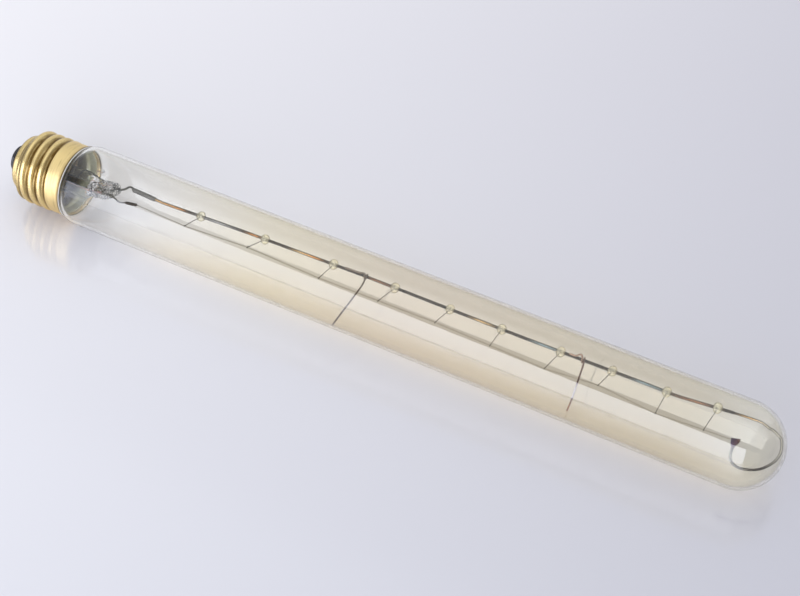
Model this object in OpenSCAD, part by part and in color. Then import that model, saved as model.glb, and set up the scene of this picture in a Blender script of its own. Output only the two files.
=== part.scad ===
// Tubular filament lamp with a rolled screw base.
// The axis runs along +X from the centre contact to the top of the dome.
// The origin is the middle of the centre contact's flat face, Z is up.
// The glass rod work inside is turned about the axis by mount_turn.

/* [Glass] */
// Length over all, from the centre contact to the top of the dome
overall_length = 288; // [260:1:320]
// Outside diameter of the tube
tube_diameter = 28.8; // [28.4:0.1:32]
// Thickness of the tube's wall
glass_wall = 1; // [0.8:0.05:1.1]
// Outside diameter of the neck inside the base
neck_diameter = 22.4; // [21.6:0.1:22.6]

/* [Screw base] */
// Height of the base, from the centre contact to its rim
base_height = 27; // [26.5:0.1:28]
// Diameter over the thread's crests
thread_crest = 26.4; // [26.1:0.05:26.5]
// Diameter at the bottom of the thread
thread_root = 24.1; // [24:0.05:24.3]
// Distance from one crest to the next
thread_pitch = 3.62; // [3.5:0.01:3.7]
// Diameter of the plain band beside the rim
band_diameter = 25.8; // [25.6:0.1:26]
// Diameter of the flared rim
rim_diameter = 26.8; // [26.6:0.1:27.6]
// Thickness of the brass sheet
sheet = 0.3; // [0.25:0.01:0.32]
// Diameter of the centre contact plate
contact_diameter = 8.2; // [7.6:0.1:8.8]

/* [Stem] */
// Outside diameter of the stem tube
stem_diameter = 10; // [9.6:0.1:11]
// Width of the pinch that grips the wires
pinch_width = 9; // [8.6:0.1:10]
// Thickness of the pinch
pinch_thickness = 4.2; // [3.6:0.1:5]
// Distance between the two wires in the pinch
seal_spacing = 5.6; // [5:0.1:6]
// Lean of the pinch away from the axis, in degrees
pinch_lean = 11.8; // [0:0.2:14]
// Outside diameter of the pumping tube
pump_tube = 3.6; // [3:0.1:4]

/* [Filament mount] */
// Turn of the whole mount about the axis, in degrees
mount_turn = 40; // [-180:1:180]
// Diameter of the long support rod
rod_diameter = 1.05; // [0.9:0.05:1.2]
// Diameter of the wire that loops round inside the dome
loop_wire = 0.8; // [0.6:0.02:0.84]
// Diameter of the glass beads
bead_diameter = 3.6; // [3.2:0.1:4.2]
// Length of each bead along the rod
bead_length = 2.9; // [2.4:0.1:3.2]
// Diameter of the hook wires
hook_wire = 0.25; // [0.2:0.01:0.34]
// Diameter over the coiled filament
coil_diameter = 0.35; // [0.24:0.01:0.4]
// Diameter of the steady wires that reach the glass
steady_wire = 0.58; // [0.4:0.02:0.7]

/* [Hidden] */
$fn = 96;

tiny = 0.02;                       // clearance between faces that only lie close

// Glass: the tube, its shoulder and the neck that the base covers
tube_r = tube_diameter / 2;
bore_r = tube_r - glass_wall;
dome_x = overall_length - tube_r;  // centre of the dome
neck_r = neck_diameter / 2;
seal_x = base_height - 12.4;       // where the neck is fused to the stem's flare
seal_r = neck_r - 0.3;
swell_x = base_height - 5.8;       // the neck begins to swell
grip_x = base_height - 3.4;        // and reaches the size of the seat
flare_x = base_height - 1.3;       // the shoulder begins
tube_x = base_height + 3.5;        // the straight tube begins

// Base: rolled sheet, from the flange over the insulator to the rim
flange_x = 4.75;
flange_r = 8.8;
toe_r = 10.1;                      // rounded corner beside the flange
cement_room = 0.5;                 // least cement between the neck and the thread
spread = max(0, neck_r + cement_room + sheet - thread_root / 2);  // the base widens for a wide neck
crest_r = thread_crest / 2 + spread;
root_r = thread_root / 2 + spread;
depth = crest_r - root_r;
round_r = (pow(thread_pitch / 2, 2) + depth * depth) / (4 * depth);  // both arcs of the thread
band_r = band_diameter / 2 + spread;
rim_r = max(rim_diameter / 2 + spread, band_r + 0.25);
lead_gap = 0.5;                    // room for the outer lead between the glass and the band
seat_r = band_r - sheet - lead_gap;  // swell of the neck under the band
thread_x0 = flange_x + 1.9;        // the thread rises from here
thread_x1 = base_height - 5.4;     // and has run out here
crest_x = 13.2;                   // a crest at the mount's upper side
columns = 52;                      // facets round the shell
rows = 40;                         // rows along the thread

// Centre contact
plate_x = 0.4;
plate_t = 0.5;
nose_x = plate_x + plate_t;        // floor of the insulator's seat for the plate
plate_r = contact_diameter / 2;
drum_x = 0.25;                     // front face of the insulator's drum, round the plate
drum_r = plate_r + 0.8;
eyelet_r = 1.5;
eyelet_hole = 1.1;
solder_r = 2.4;

// Stem: flare, tube, closed end, and the pinch that leans out of it
stem_r = stem_diameter / 2;
stem_bore = stem_r - 0.9;
stem_end = base_height + 5.4;      // inner end of the stem tube
pinch_o = [stem_end - 1.5, 0, 0];
pinch_len = 11.2;
lean_turn = 56;                    // direction of the lean
pinch_turn = -60;                  // direction of the pinch's width
pinch_d = [cos(pinch_lean), sin(pinch_lean) * cos(lean_turn), sin(pinch_lean) * sin(lean_turn)];
width_0 = [0, cos(pinch_turn), sin(pinch_turn)];
pinch_w = unit(width_0 - (width_0 * pinch_d) * pinch_d);
pinch_t = cross(pinch_d, pinch_w);
side_y = seal_spacing / 2;
pump_r = pump_tube / 2;
pump_bore = pump_r - 0.65;
pump_tip = seal_x - 4.4;           // sealed outer end of the pumping tube
pump_gap = 0.8;                    // the contact's lead passes beside it

// Wires through the pinch
lead_r = 0.38;                     // long inner lead
short_r = 0.27;                    // short inner lead
seal_r1 = 0.25;                    // copper clad seal wire
outer_r = 0.15;                    // outer leads
seal_a = 3.1;                      // outer lead ends, seal wire begins
seal_b = 8.3;                      // seal wire ends, inner lead begins

// Rod, from its sleeve to the loop in the dome
rod_r = rod_diameter / 2;
loop_r = loop_wire / 2;
rod_p = -3.84;
rod_a = [stem_end + 13.4, 4.44, rod_p];
rod_b = [dome_x - 5.8, 8.26, rod_p];
sleeve_len = 9.1;
free_x = rod_a[0] + sleeve_len;
// The rod was set by hand: six slight bends, as shares of its free length, and their height
bend_share = [0.016, 0.166, 0.371, 0.642, 0.843, 0.891];
bend_q = [3.96, 5.07, 5.95, 6.14, 6.72, 6.72];
rod_path = concat([rod_a], [for (i = [0:len(bend_q) - 1]) [share_x(bend_share[i]), bend_q[i], rod_p]],
  [rod_b]);
rod_d = unit(rod_path[1] - rod_a);
sleeve_r = rod_r + 0.32;
lead_end = rod_a + 4 * rod_d;
rod_start = rod_a + 4.4 * rod_d;

// Ten beads, set by hand, as shares of the rod between its sleeve and the dome
bead_share = [0.086, 0.203, 0.325, 0.432, 0.526, 0.612, 0.708, 0.790, 0.875, 0.951];
// How far each hook's eye stands off the filament's middle line, and how far it leans along it
hook_q = [-0.67, 0.46, -0.27, -0.03, 0.26, -0.15, -0.57, 0.74, -0.82, -0.02];
hook_lean = [0.2, -0.75, 0.65, -0.4, -0.1, 1.05, -0.55, -0.5, 0.8, -0.1];
hook_p = 5.76;
hook_r = hook_wire / 2;
coil_r = coil_diameter / 2;
eye_r = coil_r + hook_r + 2 * tiny;
bead_r = bead_diameter / 2;

// Filament: from its sleeve through ten eyes to the clamp
fil_a = [rod_a[0] + 4.1, -0.67, hook_p];
fil_b = [rod_a[0] + 8.1, -0.1, hook_p];
fil_d = unit(fil_b - fil_a);
fil_sleeve_r = 0.54;
clamp_c = [dome_x - 0.7, 0, hook_p];
clamp_in = clamp_c + [-1.45, 0.3, 0.4];
clamp_out = clamp_c + [1.8, 0.85, 0.4];
loop_end = clamp_c + [-0.1, -0.4, -0.42];

// Steady wires: share along the rod, rise of the bend over the rod, length of the tail
// that lies on the rod, course of the leg beside the turn, and direction and shift of the tip
steady_r = steady_wire / 2;
steady_share = [0.38, 0.7425];
steady_lift = [0.05, 0.9];
steady_tail = [7.3, 4.4];
steady_leg = [
  [[0.95, 4.6, -2.1], [1.15, 2.8, -1.15], [0.75, -0.9, 0.4], [-0.4, -7.1, 2.3]],
  [[0.95, 5.5, -3.15], [0.95, 2, -4.2], [0.85, -1.2, -5.2], [0.75, -6.9, -6.7]]];
steady_tip = [162.2, 215];
steady_shift = [-1.45, 0.5];

function unit(v) = v / norm(v);
function ease(t) = let(u = min(max(t, 0), 1)) u * u * (3 - 2 * u);
function bez(a, b, c, d, n) = [for (i = [0:n]) let(t = i / n, s = 1 - t)
  s * s * s * a + 3 * s * s * t * b + 3 * s * t * t * c + t * t * t * d];
// A smooth curve through the points p, with m steps between two of them
function through(p, m) = concat([for (i = [0:len(p) - 2]) for (j = [0:m - 1])
  let(t = j / m, a = p[max(i - 1, 0)], b = p[i], c = p[i + 1], d = p[min(i + 2, len(p) - 1)])
  0.5 * (2 * b + (c - a) * t + (2 * a - 5 * b + 4 * c - d) * t * t + (3 * b - a - 3 * c + d) * t * t * t)],
  [p[len(p) - 1]]);
function heading(p, i) = unit(p[min(i + 1, len(p) - 1)] - p[max(i - 1, 0)]);
// Side directions carried along the path without twist
function sides(p, i, s) = let(d = heading(p, i), n = unit(s - (s * d) * d))
  i == len(p) - 1 ? [n] : concat([n], sides(p, i + 1, n));
// Place along the free rod, and the stretch of rod, its direction and its middle line there
function share_x(share) = free_x + share * (dome_x - free_x);
function rod_leg(x, i = 0) = i < len(rod_path) - 2 && x > rod_path[i + 1][0] ? rod_leg(x, i + 1) : i;
function rod_dir(x) = let(i = rod_leg(x)) unit(rod_path[i + 1] - rod_path[i]);
function on_rod(x) = let(a = rod_path[rod_leg(x)], d = rod_dir(x)) a + d * ((x - a[0]) / d[0]);
function rod_at(share) = on_rod(share_x(share));
// Point at distance w from the rod's middle line, at angle a round it
function beside_rod(x, a, w) = on_rod(x) + w * [0, cos(a), sin(a)];
function hook_at(i) = [share_x(bead_share[i]) + hook_lean[i], hook_q[i], hook_p];
function pinch_at(x, y) = pinch_o + x * pinch_d + y * pinch_w;
// Point on a ring of radius r at x, seen along the pinch's width (away from the pinch's other wire)
function out_at(x, r) = [x, r * cos(pinch_turn), r * sin(pinch_turn)];

// Bent round wire with k sides
module wire(p, r, k = 10) {
  n = len(p);
  s = sides(p, 0, abs(heading(p, 0)[2]) < 0.9 ? [0, 0, 1] : [0, 1, 0]);
  polyhedron(
    points = [for (i = [0:n - 1]) let(b = cross(heading(p, i), s[i])) for (j = [0:k - 1])
      p[i] + r * (cos(360 * j / k) * s[i] + sin(360 * j / k) * b)],
    faces = concat([[for (j = [0:k - 1]) j]], [[for (j = [k - 1:-1:0]) (n - 1) * k + j]],
      [for (i = [0:n - 2]) for (j = [0:k - 1]) [i * k + j, (i + 1) * k + j, (i + 1) * k + (j + 1) % k]],
      [for (i = [0:n - 2]) for (j = [0:k - 1]) [i * k + j, (i + 1) * k + (j + 1) % k, i * k + (j + 1) % k]]),
    convexity = 8);
}
// Straight round bar between two points
module bar(a, b, r) {
  v = b - a;
  translate(a) rotate([0, acos(v[2] / norm(v)), atan2(v[1], v[0])]) cylinder(h = norm(v), r = r, $fn = 32);
}
// Profile of [radius, x] points turned round the axis
module turned(p) rotate([0, 90, 0]) rotate_extrude() polygon(p);
module mount() rotate([mount_turn, 0, 0]) children();
module at_pinch() multmatrix([
  [pinch_d[0], pinch_w[0], pinch_t[0], pinch_o[0]],
  [pinch_d[1], pinch_w[1], pinch_t[1], pinch_o[1]],
  [pinch_d[2], pinch_w[2], pinch_t[2], pinch_o[2]],
  [0, 0, 0, 1]]) children();

// Outline of the glass from the seal to the straight tube, shrunk by t
function glass_side(t) = concat(
  [[seal_r - t, seal_x], [neck_r - t, seal_x + 1.2]],
  bez([neck_r - t, swell_x - 0.2 * t], [neck_r - t, swell_x + 1.2 - 0.1 * t],
      [seat_r - t, grip_x - 1.2 + 0.3 * t], [seat_r - t, grip_x + 0.3 * t], 8),
  bez([seat_r - t, flare_x + 0.4 * t], [seat_r - t, flare_x + 2.2 + 0.5 * t],
      [tube_r - t, tube_x - 3.2 + 0.6 * t], [tube_r - t, tube_x + 0.4 * t], 16));
module glass_body(t) {
  turned(concat([[0, seal_x - (t > 0 ? 1 : 0)]], t > 0 ? [[seal_r - t, seal_x - 1]] : [],
    glass_side(t), [[tube_r - t, dome_x], [0, dome_x]]));
  translate([dome_x, 0, 0]) rotate([0, 90, 0]) sphere(r = tube_r - t);
}
module envelope() color([0.93, 0.9, 0.8, 0.35]) difference() {
  glass_body(0);
  glass_body(glass_wall);
}

// Stem: a trumpet fused to the neck, a tube, a closed end and the leaning pinch
module pinch_body() at_pinch() intersection() {
  translate([0, 0, -pinch_thickness]) linear_extrude(2 * pinch_thickness) {
    translate([1, -pinch_width / 2]) square([pinch_len - 4, pinch_width]);
    translate([1, -pinch_width / 2 + 3]) square([pinch_len - 1, pinch_width - 6]);
    for (s = [-1, 1]) translate([pinch_len - 3, s * (pinch_width / 2 - 3)]) circle(r = 3);
  }
  rotate([90, 0, 90]) linear_extrude(pinch_len + 1) {
    square([pinch_width - pinch_thickness, pinch_thickness], center = true);
    for (s = [-1, 1]) translate([s * (pinch_width - pinch_thickness) / 2, 0])
      circle(r = pinch_thickness / 2);
  }
}
module stem_flare() color([0.85, 0.9, 0.88, 0.4]) difference() {
  mount() union() {
    turned(concat([[0, seal_x - 0.9], [seal_r, seal_x - 0.9], [seal_r, seal_x], [seal_r - 1, seal_x]],
      bez([seal_r - 1.3, seal_x + 0.1], [stem_r + 1, seal_x + 0.6], [stem_r + 0.2, seal_x + 4],
        [stem_r, seal_x + 9], 10),
      bez([stem_r, stem_end - 3.4], [stem_r, stem_end], [stem_r - 2, stem_end + 2.2],
        [0, stem_end + 2.6], 12)));
    pinch_body();
  }
  mount() {
    turned(concat([[0, seal_x - 1.9], [seal_r - 1, seal_x - 1.9]],
      bez([seal_r - 1, seal_x - 0.9], [stem_r + 0.3, seal_x - 0.2], [stem_bore + 0.2, seal_x + 4],
        [stem_bore, seal_x + 9], 10),
      bez([stem_bore, stem_end - 2.4], [stem_bore, stem_end - 0.6], [stem_bore - 0.4, stem_end],
        [stem_bore - 1, stem_end], 6),
      [[0, stem_end]]));
    seal_wires();
    // pumping hole, from the tube's bore out through the side of the closed end
    translate([stem_end - 0.5, 0, 0]) rotate([0, 90, 0]) cylinder(h = 1.7, r = pump_bore, $fn = 32);
    bar([stem_end + 0.6, 0, 0], [stem_end + 0.6, 0, 0] + 7 * unit([0, pinch_t[1], pinch_t[2]]), 0.9);
  }
}
module exhaust_tube() color([0.85, 0.9, 0.88, 0.5]) difference() {
  union() {
    turned([[0, pump_tip + pump_r], [pump_r, pump_tip + pump_r], [pump_r, stem_end], [0, stem_end]]);
    translate([pump_tip + pump_r, 0, 0]) sphere(r = pump_r, $fn = 48);
  }
  turned([[0, pump_tip + pump_r], [pump_bore, pump_tip + pump_r], [pump_bore, stem_end + 1],
    [0, stem_end + 1]]);
  translate([pump_tip + pump_r, 0, 0]) sphere(r = pump_bore, $fn = 48);
}

// The wires' straight stretches inside the glass of the pinch
module seal_outer(y) bar(pinch_at(0.6, y), pinch_at(seal_a, y), outer_r);
module seal_mid(y) bar(pinch_at(seal_a, y), pinch_at(seal_b, y), seal_r1);
module seal_inner(y, r) bar(pinch_at(seal_b, y), pinch_at(pinch_len + 0.8, y), r);
module seal_wires() {
  for (s = [-1, 1]) {
    seal_outer(s * side_y);
    seal_mid(s * side_y);
  }
  seal_inner(side_y, lead_r);
  seal_inner(-side_y, short_r);
}
module dumet_seal(s) color([0.72, 0.4, 0.32]) mount() seal_mid(s * side_y);
module inner_lead_long() color([0.42, 0.42, 0.42]) mount() {
  seal_inner(side_y, lead_r);
  wire(concat([pinch_at(pinch_len + 0.4, side_y)], through([pinch_at(pinch_len + 0.8, side_y),
    rod_a + [-2.1, -0.86, 2.4], rod_a + [-1.45, 0.4, 1.15], rod_a + [-0.6, 0.48, 0.2],
    rod_a - 0.3 * rod_d], 5),
    [rod_a + 0.4 * rod_d]), 0.97 * lead_r, 8);
  bar(rod_a, lead_end, lead_r);
}
module inner_lead_short() color([0.3, 0.3, 0.3]) mount() {
  seal_inner(-side_y, short_r);
  wire(concat([pinch_at(pinch_len + 0.4, -side_y)], through([pinch_at(pinch_len + 0.8, -side_y),
    fil_a + [-5.2, 0, -0.96], fil_a + [-3.1, -0.62, -0.48], fil_a + [-1.15, -0.38, -0.1],
    fil_a - 0.3 * fil_d], 5),
    [fil_a + 0.4 * fil_d]), 0.97 * short_r, 8);
  bar(fil_a, fil_a + 2 * fil_d, short_r);
}
module outer_lead_contact() color([0.7, 0.42, 0.25]) mount() {
  seal_outer(-side_y);
  wire(through([pinch_at(1, -side_y), pinch_at(0.2, -side_y), out_at(stem_end - 6.6, -side_y),
    out_at(seal_x, -pump_r - pump_gap), out_at(pump_tip - 0.5, -pump_r - pump_gap / 2),
    out_at(nose_x + 5, -0.5), [nose_x + 3.4, 0, 0], [nose_x + 2.6, 0, 0]], 3), 0.97 * outer_r, 8);
  bar([nose_x + 2.9, 0, 0], [nose_x + 1.4, 0, 0], outer_r);
}
// From the pinch down the stem, round the seal, and up between the glass and the base
shell_lead = [out_at(stem_end - 6.6, side_y), out_at(seal_x - 0.2, side_y + 0.1),
  out_at(seal_x - 1.3, side_y + 0.8),
  out_at(seal_x - 1.35, seal_r - 0.4), out_at(seal_x - 1, neck_r + 0.2), out_at(seal_x - 0.2, neck_r + 0.29),
  out_at(swell_x, neck_r + 0.29), out_at(swell_x + 1.5, seat_r + 0.14), out_at(grip_x, seat_r + lead_gap / 2),
  out_at(flare_x - 0.5, seat_r + lead_gap / 2 + 0.01), out_at(base_height - 0.4, rim_r - 0.72),
  out_at(base_height + 0.2, rim_r - 0.42), out_at(base_height + 0.4, rim_r - 0.25)];
solder_ball = 0.85;                // bead of solder on the rim
solder_out = 0.45;                 // its middle stands this far outside the rim
module outer_lead_shell() color([0.7, 0.42, 0.25]) mount() {
  seal_outer(side_y);
  wire(concat([pinch_at(1, side_y), pinch_at(0.2, side_y)], shell_lead), 0.97 * outer_r, 8);
  bar(out_at(base_height + 0.4, rim_r - 0.3), out_at(base_height + 0.4, rim_r + 0.2), outer_r);
}

// Thread profile: two arcs, the crest's of radius rc and the root's of radius rr
function thread_r(x, a, rc, rr) =
  let(u = (x - crest_x - thread_pitch * (a - mount_turn) / 360) / thread_pitch,
      d = thread_pitch * abs(u - round(u)), join = thread_pitch / 2 * rc / (2 * round_r))
  d <= join ? crest_r - round_r + sqrt(rc * rc - d * d)
    : root_r + round_r - sqrt(max(rr * rr - pow(thread_pitch / 2 - d, 2), 0));
function thread_share(x) = ease((x - thread_x0) / 2.1) * ease((thread_x1 - x) / 2);
function plain_r(x) = toe_r + 0.1 + (band_r - toe_r - 0.1) * ease((x - thread_x0) / (thread_x1 - thread_x0));
function shell_out(x, a) = let(w = thread_share(x))
  w * thread_r(x, a, round_r, round_r) + (1 - w) * plain_r(x);
function shell_in(x, a) = let(w = thread_share(x))
  w * thread_r(x, a, round_r - sheet, round_r + sheet) + (1 - w) * (plain_r(x) - sheet);
// Flange and toe, from the flange's hole outwards, and the flared rim
toe = [[flange_x, flange_r], [flange_x, toe_r - 0.75], [flange_x + 0.14, toe_r - 0.3],
  [flange_x + 0.5, toe_r]];
flare = rim_r - band_r;
rim = [[base_height - 2, band_r], [base_height - 1.3, band_r + 0.12 * flare],
  [base_height - 0.75, band_r + 0.45 * flare], [base_height - 0.25, rim_r], [base_height, rim_r - 0.14],
  [base_height - 0.32, rim_r - 0.4],
  [base_height - 0.85, band_r + 0.4 * flare - sheet], [base_height - 2, band_r - sheet]];
toe_back = [[flange_x + 0.5 + 0.8 * sheet, toe_r - sheet], [flange_x + sheet, toe_r - sheet - 0.45],
  [flange_x + sheet, flange_r]];
module screw_shell() color([0.83, 0.68, 0.36]) {
  run = thread_x1 - thread_x0;
  loops = [for (c = [0:columns - 1]) let(a = 360 * c / columns) concat(toe,
    [for (i = [0:rows]) let(x = thread_x0 + run * i / rows) [x, shell_out(x, a)]], rim,
    [for (i = [rows:-1:0]) let(x = thread_x0 + run * i / rows) [x, shell_in(x, a)]], toe_back)];
  m = len(loops[0]);
  polyhedron(
    points = [for (c = [0:columns - 1]) let(a = 360 * c / columns) for (p = loops[c])
      [p[0], p[1] * cos(a), p[1] * sin(a)]],
    faces = [for (c = [0:columns - 1]) let(d = (c + 1) % columns) for (i = [0:m - 1]) let(j = (i + 1) % m)
      for (k = [0, 1]) k == 0 ? [c * m + i, c * m + j, d * m + j] : [c * m + i, d * m + j, d * m + i]],
    convexity = 10);
}
// Solid round bead of metal on the rim, where the outer lead is joined to the shell
module rim_solder() color([0.75, 0.76, 0.78]) mount() difference() {
  translate(out_at(base_height - 0.05, rim_r + solder_out)) sphere(r = solder_ball, $fn = 48);
  turned(concat([[band_r - sheet - 2 * tiny, base_height - 2.2], [band_r + 2 * tiny, base_height - 2.2]],
    [for (i = [0:2]) [rim[i][1] + 2 * tiny, rim[i][0] - tiny]],
    [[rim_r + 2 * tiny, base_height - 0.25 - tiny], [rim[4][1] + 2 * tiny, base_height + 2 * tiny]],
    [for (i = [5:7]) [rim[i][1] - 2 * tiny, rim[i][0] + tiny]]));
  turned(concat([[0, seal_x]], glass_side(-tiny), [[0, tube_x]]));
  wire([for (i = [9:12]) shell_lead[i]], outer_r + tiny, 8);
  bar(out_at(base_height + 0.4, rim_r - 0.3), out_at(base_height + 0.4, rim_r + 0.2), outer_r);
}
// Cement between the neck and the base, with the outer lead's channel
module basing_cement() color([0.78, 0.76, 0.7]) difference() {
  turned([[neck_r, seal_x + 2], [root_r - sheet - 0.05, seal_x + 2], [root_r - sheet - 0.05, thread_x1 + 0.2],
    [band_r - sheet - 0.03, thread_x1 + 0.3], [band_r - sheet - 0.03, flare_x - 0.3],
    [neck_r, flare_x - 0.3]]);
  turned(concat([[0, seal_x]], glass_side(0), [[0, tube_x]]));
  mount() wire([for (i = [5:10]) shell_lead[i]], outer_r + tiny, 8);
}
module insulator() color([0.06, 0.06, 0.07]) turned(concat(
  [[eyelet_r, nose_x], [plate_r + tiny, nose_x], [plate_r + tiny, drum_x], [drum_r - 0.25, drum_x],
   [drum_r - 0.07, drum_x + 0.07], [drum_r, drum_x + 0.25]],
  bez([drum_r, drum_x + 0.9], [drum_r + 0.1, drum_x + 1.65], [flange_r - 1.4, flange_x - 1.55],
    [flange_r - tiny, flange_x - 0.2], 8),
  [[flange_r - tiny, flange_x + sheet], [toe_r - sheet - 0.5, flange_x + sheet],
   [toe_r - sheet - 0.5, flange_x + sheet + 0.6], [flange_r - 0.9, flange_x + sheet + 0.6],
   [eyelet_r + 2.1, nose_x + 2.2], [eyelet_r + 1.1, nose_x + 2.6], [eyelet_r, nose_x + 2.6]]));
module contact_plate() color([0.8, 0.66, 0.36]) turned([
  [eyelet_hole, plate_x], [plate_r - 0.15, plate_x], [plate_r, plate_x + 0.15], [plate_r, nose_x],
  [eyelet_r, nose_x], [eyelet_r, nose_x + 2.3], [eyelet_hole, nose_x + 2.3]]);
module contact_solder() color([0.74, 0.75, 0.77]) turned(concat(
  [[0, 0]], [for (a = [0:15:90]) [solder_r - 0.4 + 0.4 * sin(a), 0.4 - 0.4 * cos(a)]],
  [[solder_r, plate_x], [eyelet_hole, plate_x], [eyelet_hole, nose_x + 1.4], [0, nose_x + 1.4]]));

// Crimped sleeves that join the leads to the rod and to the filament
module rod_sleeve() color([0.4, 0.4, 0.39]) mount() difference() {
  bar(rod_a, rod_a + sleeve_len * rod_d, sleeve_r);
  bar(rod_a - rod_d, lead_end, lead_r);
  bar(rod_start, rod_a + (sleeve_len + 1) * rod_d, rod_r);
}
module filament_sleeve() color([0.25, 0.25, 0.25]) mount() difference() {
  bar(fil_a, fil_b, fil_sleeve_r);
  bar(fil_a - fil_d, fil_a + 2 * fil_d, short_r);
  bar(fil_a + 2.4 * fil_d, fil_b + fil_d, coil_r);
}
// The rod, then a thinner wire that loops round inside the dome and comes back to the clamp
loop_path = [[-2.69, 8.49, -3.74], [0.96, 8.64, -3.36], [3.26, 8.64, -2.88], [4.99, 8.26, -2.4],
  [6.53, 7.78, -1.92], [7.68, 7.68, -1.44], [9.22, 7.01, -0.96], [10.75, 6.24, -0.48], [11.62, 5.18, 0],
  [12.38, 2.4, 0.48], [12.1, -0.29, 1.25], [11.04, -2.4, 1.92], [9.02, -4.61, 2.69], [6.72, -5.95, 3.26],
  [4.03, -6.72, 3.74], [2.02, -6.72, 4.22], [0.19, -5.86, 4.8], [-0.58, -4.32, 5.18]];
module support_rod() color([0.33, 0.33, 0.34]) mount() {
  wire(concat([rod_start], [for (i = [1:len(rod_path) - 1]) rod_path[i]]), 0.999 * rod_r, 14);
  wire(concat([on_rod(rod_b[0] - 1.2)], through(concat([rod_b], [for (p = loop_path) p + [dome_x, 0, 0]],
    [loop_end - [0, 2, 0]]), 3), [loop_end - [0, 1.6, 0]]), 0.97 * loop_r, 9);
  bar(loop_end - [0, 2, 0], loop_end, loop_r);
}
// Folded tab that grips the end of the loop and the end of the filament
module end_clamp() color([0.3, 0.2, 0.3]) mount() difference() {
  translate(clamp_c - [0, 0, 0.9]) linear_extrude(1.8)
    polygon([[-1.35, 0.77], [1.25, 1.45], [1.25, 0.1], [0.6, -0.95], [0.43, -1.68], [-0.62, -1.68],
      [-1.05, -0.6]]);
  bar(loop_end - [0, 3, 0], loop_end, loop_r);
  bar(clamp_in - (clamp_out - clamp_in), clamp_out + (clamp_out - clamp_in), coil_r);
}
module filament() color([0.35, 0.3, 0.24]) mount() {
  bar(fil_a + 2.4 * fil_d, fil_b + 0.4 * fil_d, coil_r);
  wire(concat([fil_b + 0.1 * fil_d, fil_b + 0.5 * fil_d], [for (i = [0:len(hook_q) - 1]) hook_at(i)],
    [clamp_in - 0.15 * (clamp_out - clamp_in), clamp_in - 0.02 * (clamp_out - clamp_in)]), 0.97 * coil_r, 8);
  bar(clamp_in - 0.1 * (clamp_out - clamp_in), clamp_out, coil_r);
}

// Glass bead run onto the rod
module bead(i) color([0.92, 0.88, 0.66, 0.8]) mount() difference() {
  d = rod_dir(share_x(bead_share[i]));
  translate(rod_at(bead_share[i])) rotate([0, acos(d[2]), atan2(d[1], d[0])])
    rotate_extrude($fn = 48) difference() {
      translate([bead_r - bead_length / 2, 0]) circle(r = bead_length / 2, $fn = 48);
      translate([-bead_r - 10, -5]) square([bead_r + 10 + rod_r, 10]);
    }
  hook_shank(i);
}
// Hook: its foot sits in the bead, its eye holds the filament
module hook_shank(i) {
  b = rod_at(bead_share[i]);
  v = unit(hook_at(i) - b);
  bar(b + (rod_r + 0.25) * v, hook_at(i) - eye_r * v, hook_r);
}
module anchor(i) color([0.4, 0.38, 0.34]) mount() {
  hook_shank(i);
  translate(hook_at(i)) rotate([0, 90, 0]) rotate([0, 0, atan2((hook_at(i) - rod_at(bead_share[i]))[1],
    -(hook_at(i) - rod_at(bead_share[i]))[2])])
    rotate([0, 0, 160]) rotate_extrude(angle = 310, $fn = 32) translate([eye_r, 0])
      circle(r = hook_r, $fn = 16);
}
// Steady wire: a tail along the rod, a turn round it, and a leg out to the glass
module steady(i) color([0.36, 0.3, 0.27]) mount() {
  c = rod_at(steady_share[i]);
  w = rod_r + steady_r + 1.5 * tiny;
  far = bore_r - 0.15;
  lift = steady_lift[i];
  tip = [c[0] + steady_shift[i], far * cos(steady_tip[i]), far * sin(steady_tip[i])];
  wire(concat(
    [for (k = [0:2]) beside_rod(c[0] - 2.4 - (steady_tail[i] - 2.4) * (1 - k / 3), 60, w)],
    through([beside_rod(c[0] - 2.2, 60, w), beside_rod(c[0] - 1.6, 50, w + lift * 0.6),
      beside_rod(c[0] - 1, 35, w + lift), beside_rod(c[0] - 0.45, 33, w + lift * 0.7),
      beside_rod(c[0] - 0.12, 45, w)], 2),
    [for (a = [67.5:22.5:427.5]) beside_rod(c[0] - 0.1 + 0.85 * (a - 45) / 405, a, w)],
    through(concat([beside_rod(c[0] + 0.75, 450, w)], [for (p = steady_leg[i]) p + [c[0], 0, 0]], [tip]), 4)),
    steady_r, 8);
}

envelope();
stem_flare();
exhaust_tube();
basing_cement();
screw_shell();
insulator();
contact_plate();
contact_solder();
rim_solder();
outer_lead_contact();
outer_lead_shell();
dumet_seal(1);  // dumet_seal_1
dumet_seal(-1);  // dumet_seal_2
inner_lead_long();
inner_lead_short();
rod_sleeve();
filament_sleeve();
support_rod();
end_clamp();
filament();
steady(0);  // steady_spring_1
steady(1);  // steady_spring_2
bead(0);  // bead_01
bead(1);  // bead_02
bead(2);  // bead_03
bead(3);  // bead_04
bead(4);  // bead_05
bead(5);  // bead_06
bead(6);  // bead_07
bead(7);  // bead_08
bead(8);  // bead_09
bead(9);  // bead_10
anchor(0);  // anchor_01
anchor(1);  // anchor_02
anchor(2);  // anchor_03
anchor(3);  // anchor_04
anchor(4);  // anchor_05
anchor(5);  // anchor_06
anchor(6);  // anchor_07
anchor(7);  // anchor_08
anchor(8);  // anchor_09
anchor(9);  // anchor_10
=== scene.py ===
# %% [markdown]
# Tubular filament lamp with a rolled screw base, lying on a pale glossy table.
# The CAD frame gives every place and size. This lesson dresses it: smooth glass, rolled
# brass, heat tinted wires, beads run onto the rod and one long coiled filament.
# Lengths are written in millimetres and turned into metres when a mesh is made.

import bpy
import numpy as np
from mathutils import Matrix, Vector


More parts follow.
